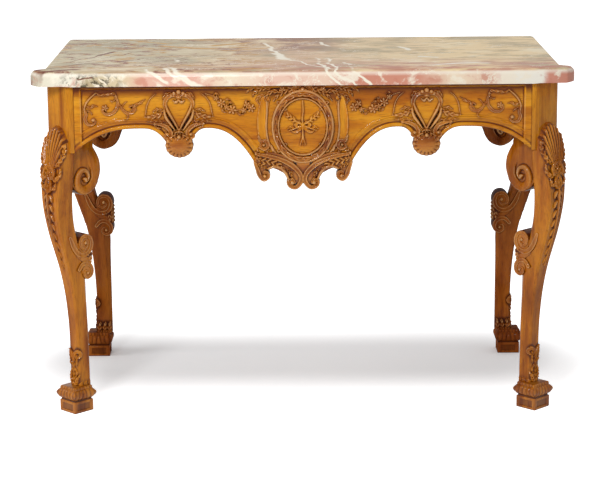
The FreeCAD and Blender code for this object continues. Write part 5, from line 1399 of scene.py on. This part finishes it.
# %% Feet
def foot(name):
    """One foot, standing at the origin."""
    heights = foot_heights()
    piece, around, up = add_grid(name, 160, len(heights) - 1)
    z = heights[np.round(up * (len(heights) - 1)).astype(int)]
    half, bend, rib = [np.interp(z, FOOT_ROWS[:, 0], FOOT_ROWS[:, i]) for i in (1, 2, 3)]
    angle = around * 2 * np.pi
    x, y = rounded_square(angle, half, bend)
    edge = np.minimum(np.abs(x), np.abs(y))
    wave = np.abs(np.cos(np.pi * (edge + (z - 47) * 0.14) / np.where(z > COLLAR_LOW, 9.0, 12.2)))
    bud = 2.2 * np.exp(-((z - 48) / 6) ** 2) * np.clip((edge / half - 0.68) / 0.12, 0, 1)
    panel = (z > PLINTH_PANEL[0]) & (z < PLINTH_PANEL[1]) & (edge < PANEL_HALF)
    cut = rib * (1 - wave ** 0.6) + np.where(panel, PLINTH_SINK, 0) - bud
    c, s = np.cos(angle), np.sin(angle)
    widest = np.maximum(np.abs(c), np.abs(s))
    # Painted shade in the grooves, the neck and the sunk panels, and darker still along the lowest 2 mm.
    hollow = np.where(rib > 0, (1 - wave) * 0.75 - 0.2, 0) + np.where((z > 30) & (z < 35), 0.7, 0)
    hollow += np.where(panel, 0.45, 0) + np.where(z < 2, 0.6, 0.1)
    set_points(piece, x - cut * c / widest, y - cut * s / widest, z, hollow)
    close_ends(threshold=0.00005)
    return piece

for corner in CORNERS:
    tone = "carved" if corner.startswith("front") else "shaded"
    settle(foot(f"gadrooned_foot_{corner}"), WOOD[tone, "Z"], "walnut", [f"foot_{corner}"],
           *stand(corner), angle=40)

# %% [markdown]
# A bracket fills the corner between each leg and the rails and rolls up in a volute that is the
# same on both cheeks. Half of it is carved as before, down to its middle plane, and the Mirror
# modifier makes the other half, so the two cheeks always agree.

# %% Volute brackets
VOLUTE = (
    ("round", (1.5, 4, 6, 7, 7, 7, 7.5, 8.5, 9.5, 10, 10, 10, 10), 0,
     (26, 34, 38, 38, 34, 28, 24, 22, 20, 17, 13, 10, 8), (44, 676), (52, 656), (59, 636), (60, 612),
     (50, 586), (30, 571), (9, 580), (3, 602), (14, 621), (30, 620), (37, 606), (30, 595), (24, 601)),
)

def two_cheeks(name, x_span, z_span, step, drawing, half_wide, high):
    """A piece with the same relief on both cheeks, its middle plane at Y = 0."""
    piece = carve(name, x_span, z_span, step, drawing, 0, high - half_wide)
    points = piece.data.vertices
    flat = [all(abs(points[v].co.y) < 1e-5 for v in face.vertices) for face in piece.data.polygons]
    delete_faces(piece, flat)
    mirror = piece.modifiers.new("other_cheek", "MIRROR")
    mirror.use_axis = (False, True, False)
    mirror.merge_threshold = 0.0002
    bpy.ops.object.modifier_apply(modifier="other_cheek")
    return piece

def volute(relief, lift, top):
    """A bracket's cheek: the web up to the rails, and the band that winds round its eye."""
    levels = (540, 600 + lift, 622 + lift, 640 + lift, 660 + lift, 676 + lift, 740)
    edge = np.interp(relief.z, levels, (60, 76, 77, 74, 66, 58, 52))
    web = np.minimum.reduce([edge - relief.x, relief.x + 16, top - relief.z, relief.z - (604 + lift)])
    web = np.maximum(web, 44 - np.hypot(relief.x - 30, relief.z - 604 - lift))
    relief.add(web, np.full(web.shape, 1.5))
    draw(relief, VOLUTE, z=lift, signs=[1])
    dome(relief, 27, 600 + lift, 5, 12)

for corner in CORNERS:
    front = corner.startswith("front")
    lift, top, half_wide = (2, 734, 31) if front else (28, 744, 27)
    piece = two_cheeks(f"volute_bracket_{corner}", (-18, 84), (550, top), 1.5,
                       lambda relief: volute(relief, lift, top), half_wide, 7)
    settle(piece, WOOD["brown" if front else "shaded", "Z"], "walnut", [f"bracket_{corner}"], *stand(corner))

# %% [markdown]
# Half-way down, on the inner side of each leg, sits a group of scrolls: a band that rolls up like
# the end of a parchment, a leaf, and a smaller curl below. The bands are cut through from cheek
# to cheek. The rolls between them are spun from a profile with rounded rings, as on a bolster.

# %% Bands and rolls of the shin scrolls
SHIN = (
    ("hollow", 5, 0, (10, 14, 15, 14, 13, 12, 12, 11, 10, 9, 8, 7, 6), (-24, 458), (-13, 432), (0, 415),
     (18, 408), (36, 415), (44, 434), (37, 452), (21, 456), (9, 446), (9, 432), (20, 424), (30, 432),
     (25, 441)),
    ("hollow", 5, 0, (10, 12, 12, 12, 11, 10, 9, 7, 5), (2, 372), (14, 384), (30, 384), (42, 372),
     (42, 356), (30, 348), (19, 355), (22, 366), (31, 364)),
    ("round", 2, 0, (26, 26, 20), (8, 412), (22, 400), (30, 388)),
    ("leaf", 5, 3, (6, 14, 12, 4), (28, 410), (38, 402), (40, 390), (34, 382)),
)
SHIN_LEAF = (
    ("leaf", 9, 4, (10, 16, 14, 4), (0, 424), (10, 410), (17, 392), (14, 378)),
    ("leaf", 6, 3, (6, 13, 4), (4, 420), (18, 416), (25, 402)),
    ("leaf", 12, 5, (12, 18, 6), (0, 428), (0, 404), (0, 376)),
)

def shin(relief):
    """The bands of the shin scrolls, seen from the side."""
    draw(relief, SHIN, signs=[1])
    dome(relief, 24, 438, 4.5, 6)
    dome(relief, 29, 360, 4, 6)

def ringed_roll(name, x, z, radius, half_long, rings):
    """A roll across the leg, spun from a profile of rounded rings."""
    share = np.linspace(-1, 1, rings * 8 + 1)
    bulge = np.abs(np.sin(np.pi * rings * (share + 1) / 2)) * 1.8
    reach = radius - 4.5 * (1 - share ** 2) + bulge
    profile = [(0, -half_long)] + list(zip(reach, share * half_long)) + [(0, half_long)]
    bpy.ops.object.select_all(action="DESELECT")
    bpy.ops.mesh.primitive_circle_add(vertices=len(profile), radius=0.01)
    piece = bpy.context.object
    piece.name = piece.data.name = name
    for point, (out, along) in zip(piece.data.vertices, profile):
        point.co = ((x + out) / 1000, along / 1000, z / 1000)
    with editing("VERT"):
        bpy.ops.mesh.spin(steps=36, angle=2 * math.pi, center=(x / 1000, 0, z / 1000), axis=(0, 1, 0))
        bpy.ops.mesh.select_all(action="SELECT")
        bpy.ops.mesh.remove_doubles(threshold=0.00002)
        bpy.ops.mesh.select_all(action="SELECT")
        bpy.ops.mesh.delete_loose(use_verts=True, use_edges=True, use_faces=False)
    return piece

print("shin scrolls drawn")

# %% [markdown]
# A group is joined from its bands, its two rolls, and a leaf over its front, which is carved flat
# and turned towards the middle of the table.

# %% Shin scrolls
for corner in CORNERS:
    piece = two_cheeks(f"shin_scroll_{corner}_carving", (-32, 56), (336, 466), 1.3, shin, 28, 5)
    for name, x, z, radius, rings in (("upper_roll", 24, 434, 21, 7), ("lower_roll", 31, 366, 17, 5)):
        choose(ringed_roll(name, x, z, radius, 24, rings), piece)
        bpy.ops.object.join()
    leaf = carve("leaf", (-30, 30), (370, 432), 1.4, lambda relief: draw(relief, SHIN_LEAF), 14, 0)
    put(leaf, (42, 0, 0), 90)
    choose(leaf, piece)
    bpy.ops.object.join()
    tone = "carved" if corner.startswith("front") else "shaded"
    settle(piece, WOOD[tone, "Z"], "walnut", [f"shin_scroll_{corner}"], *stand(corner))
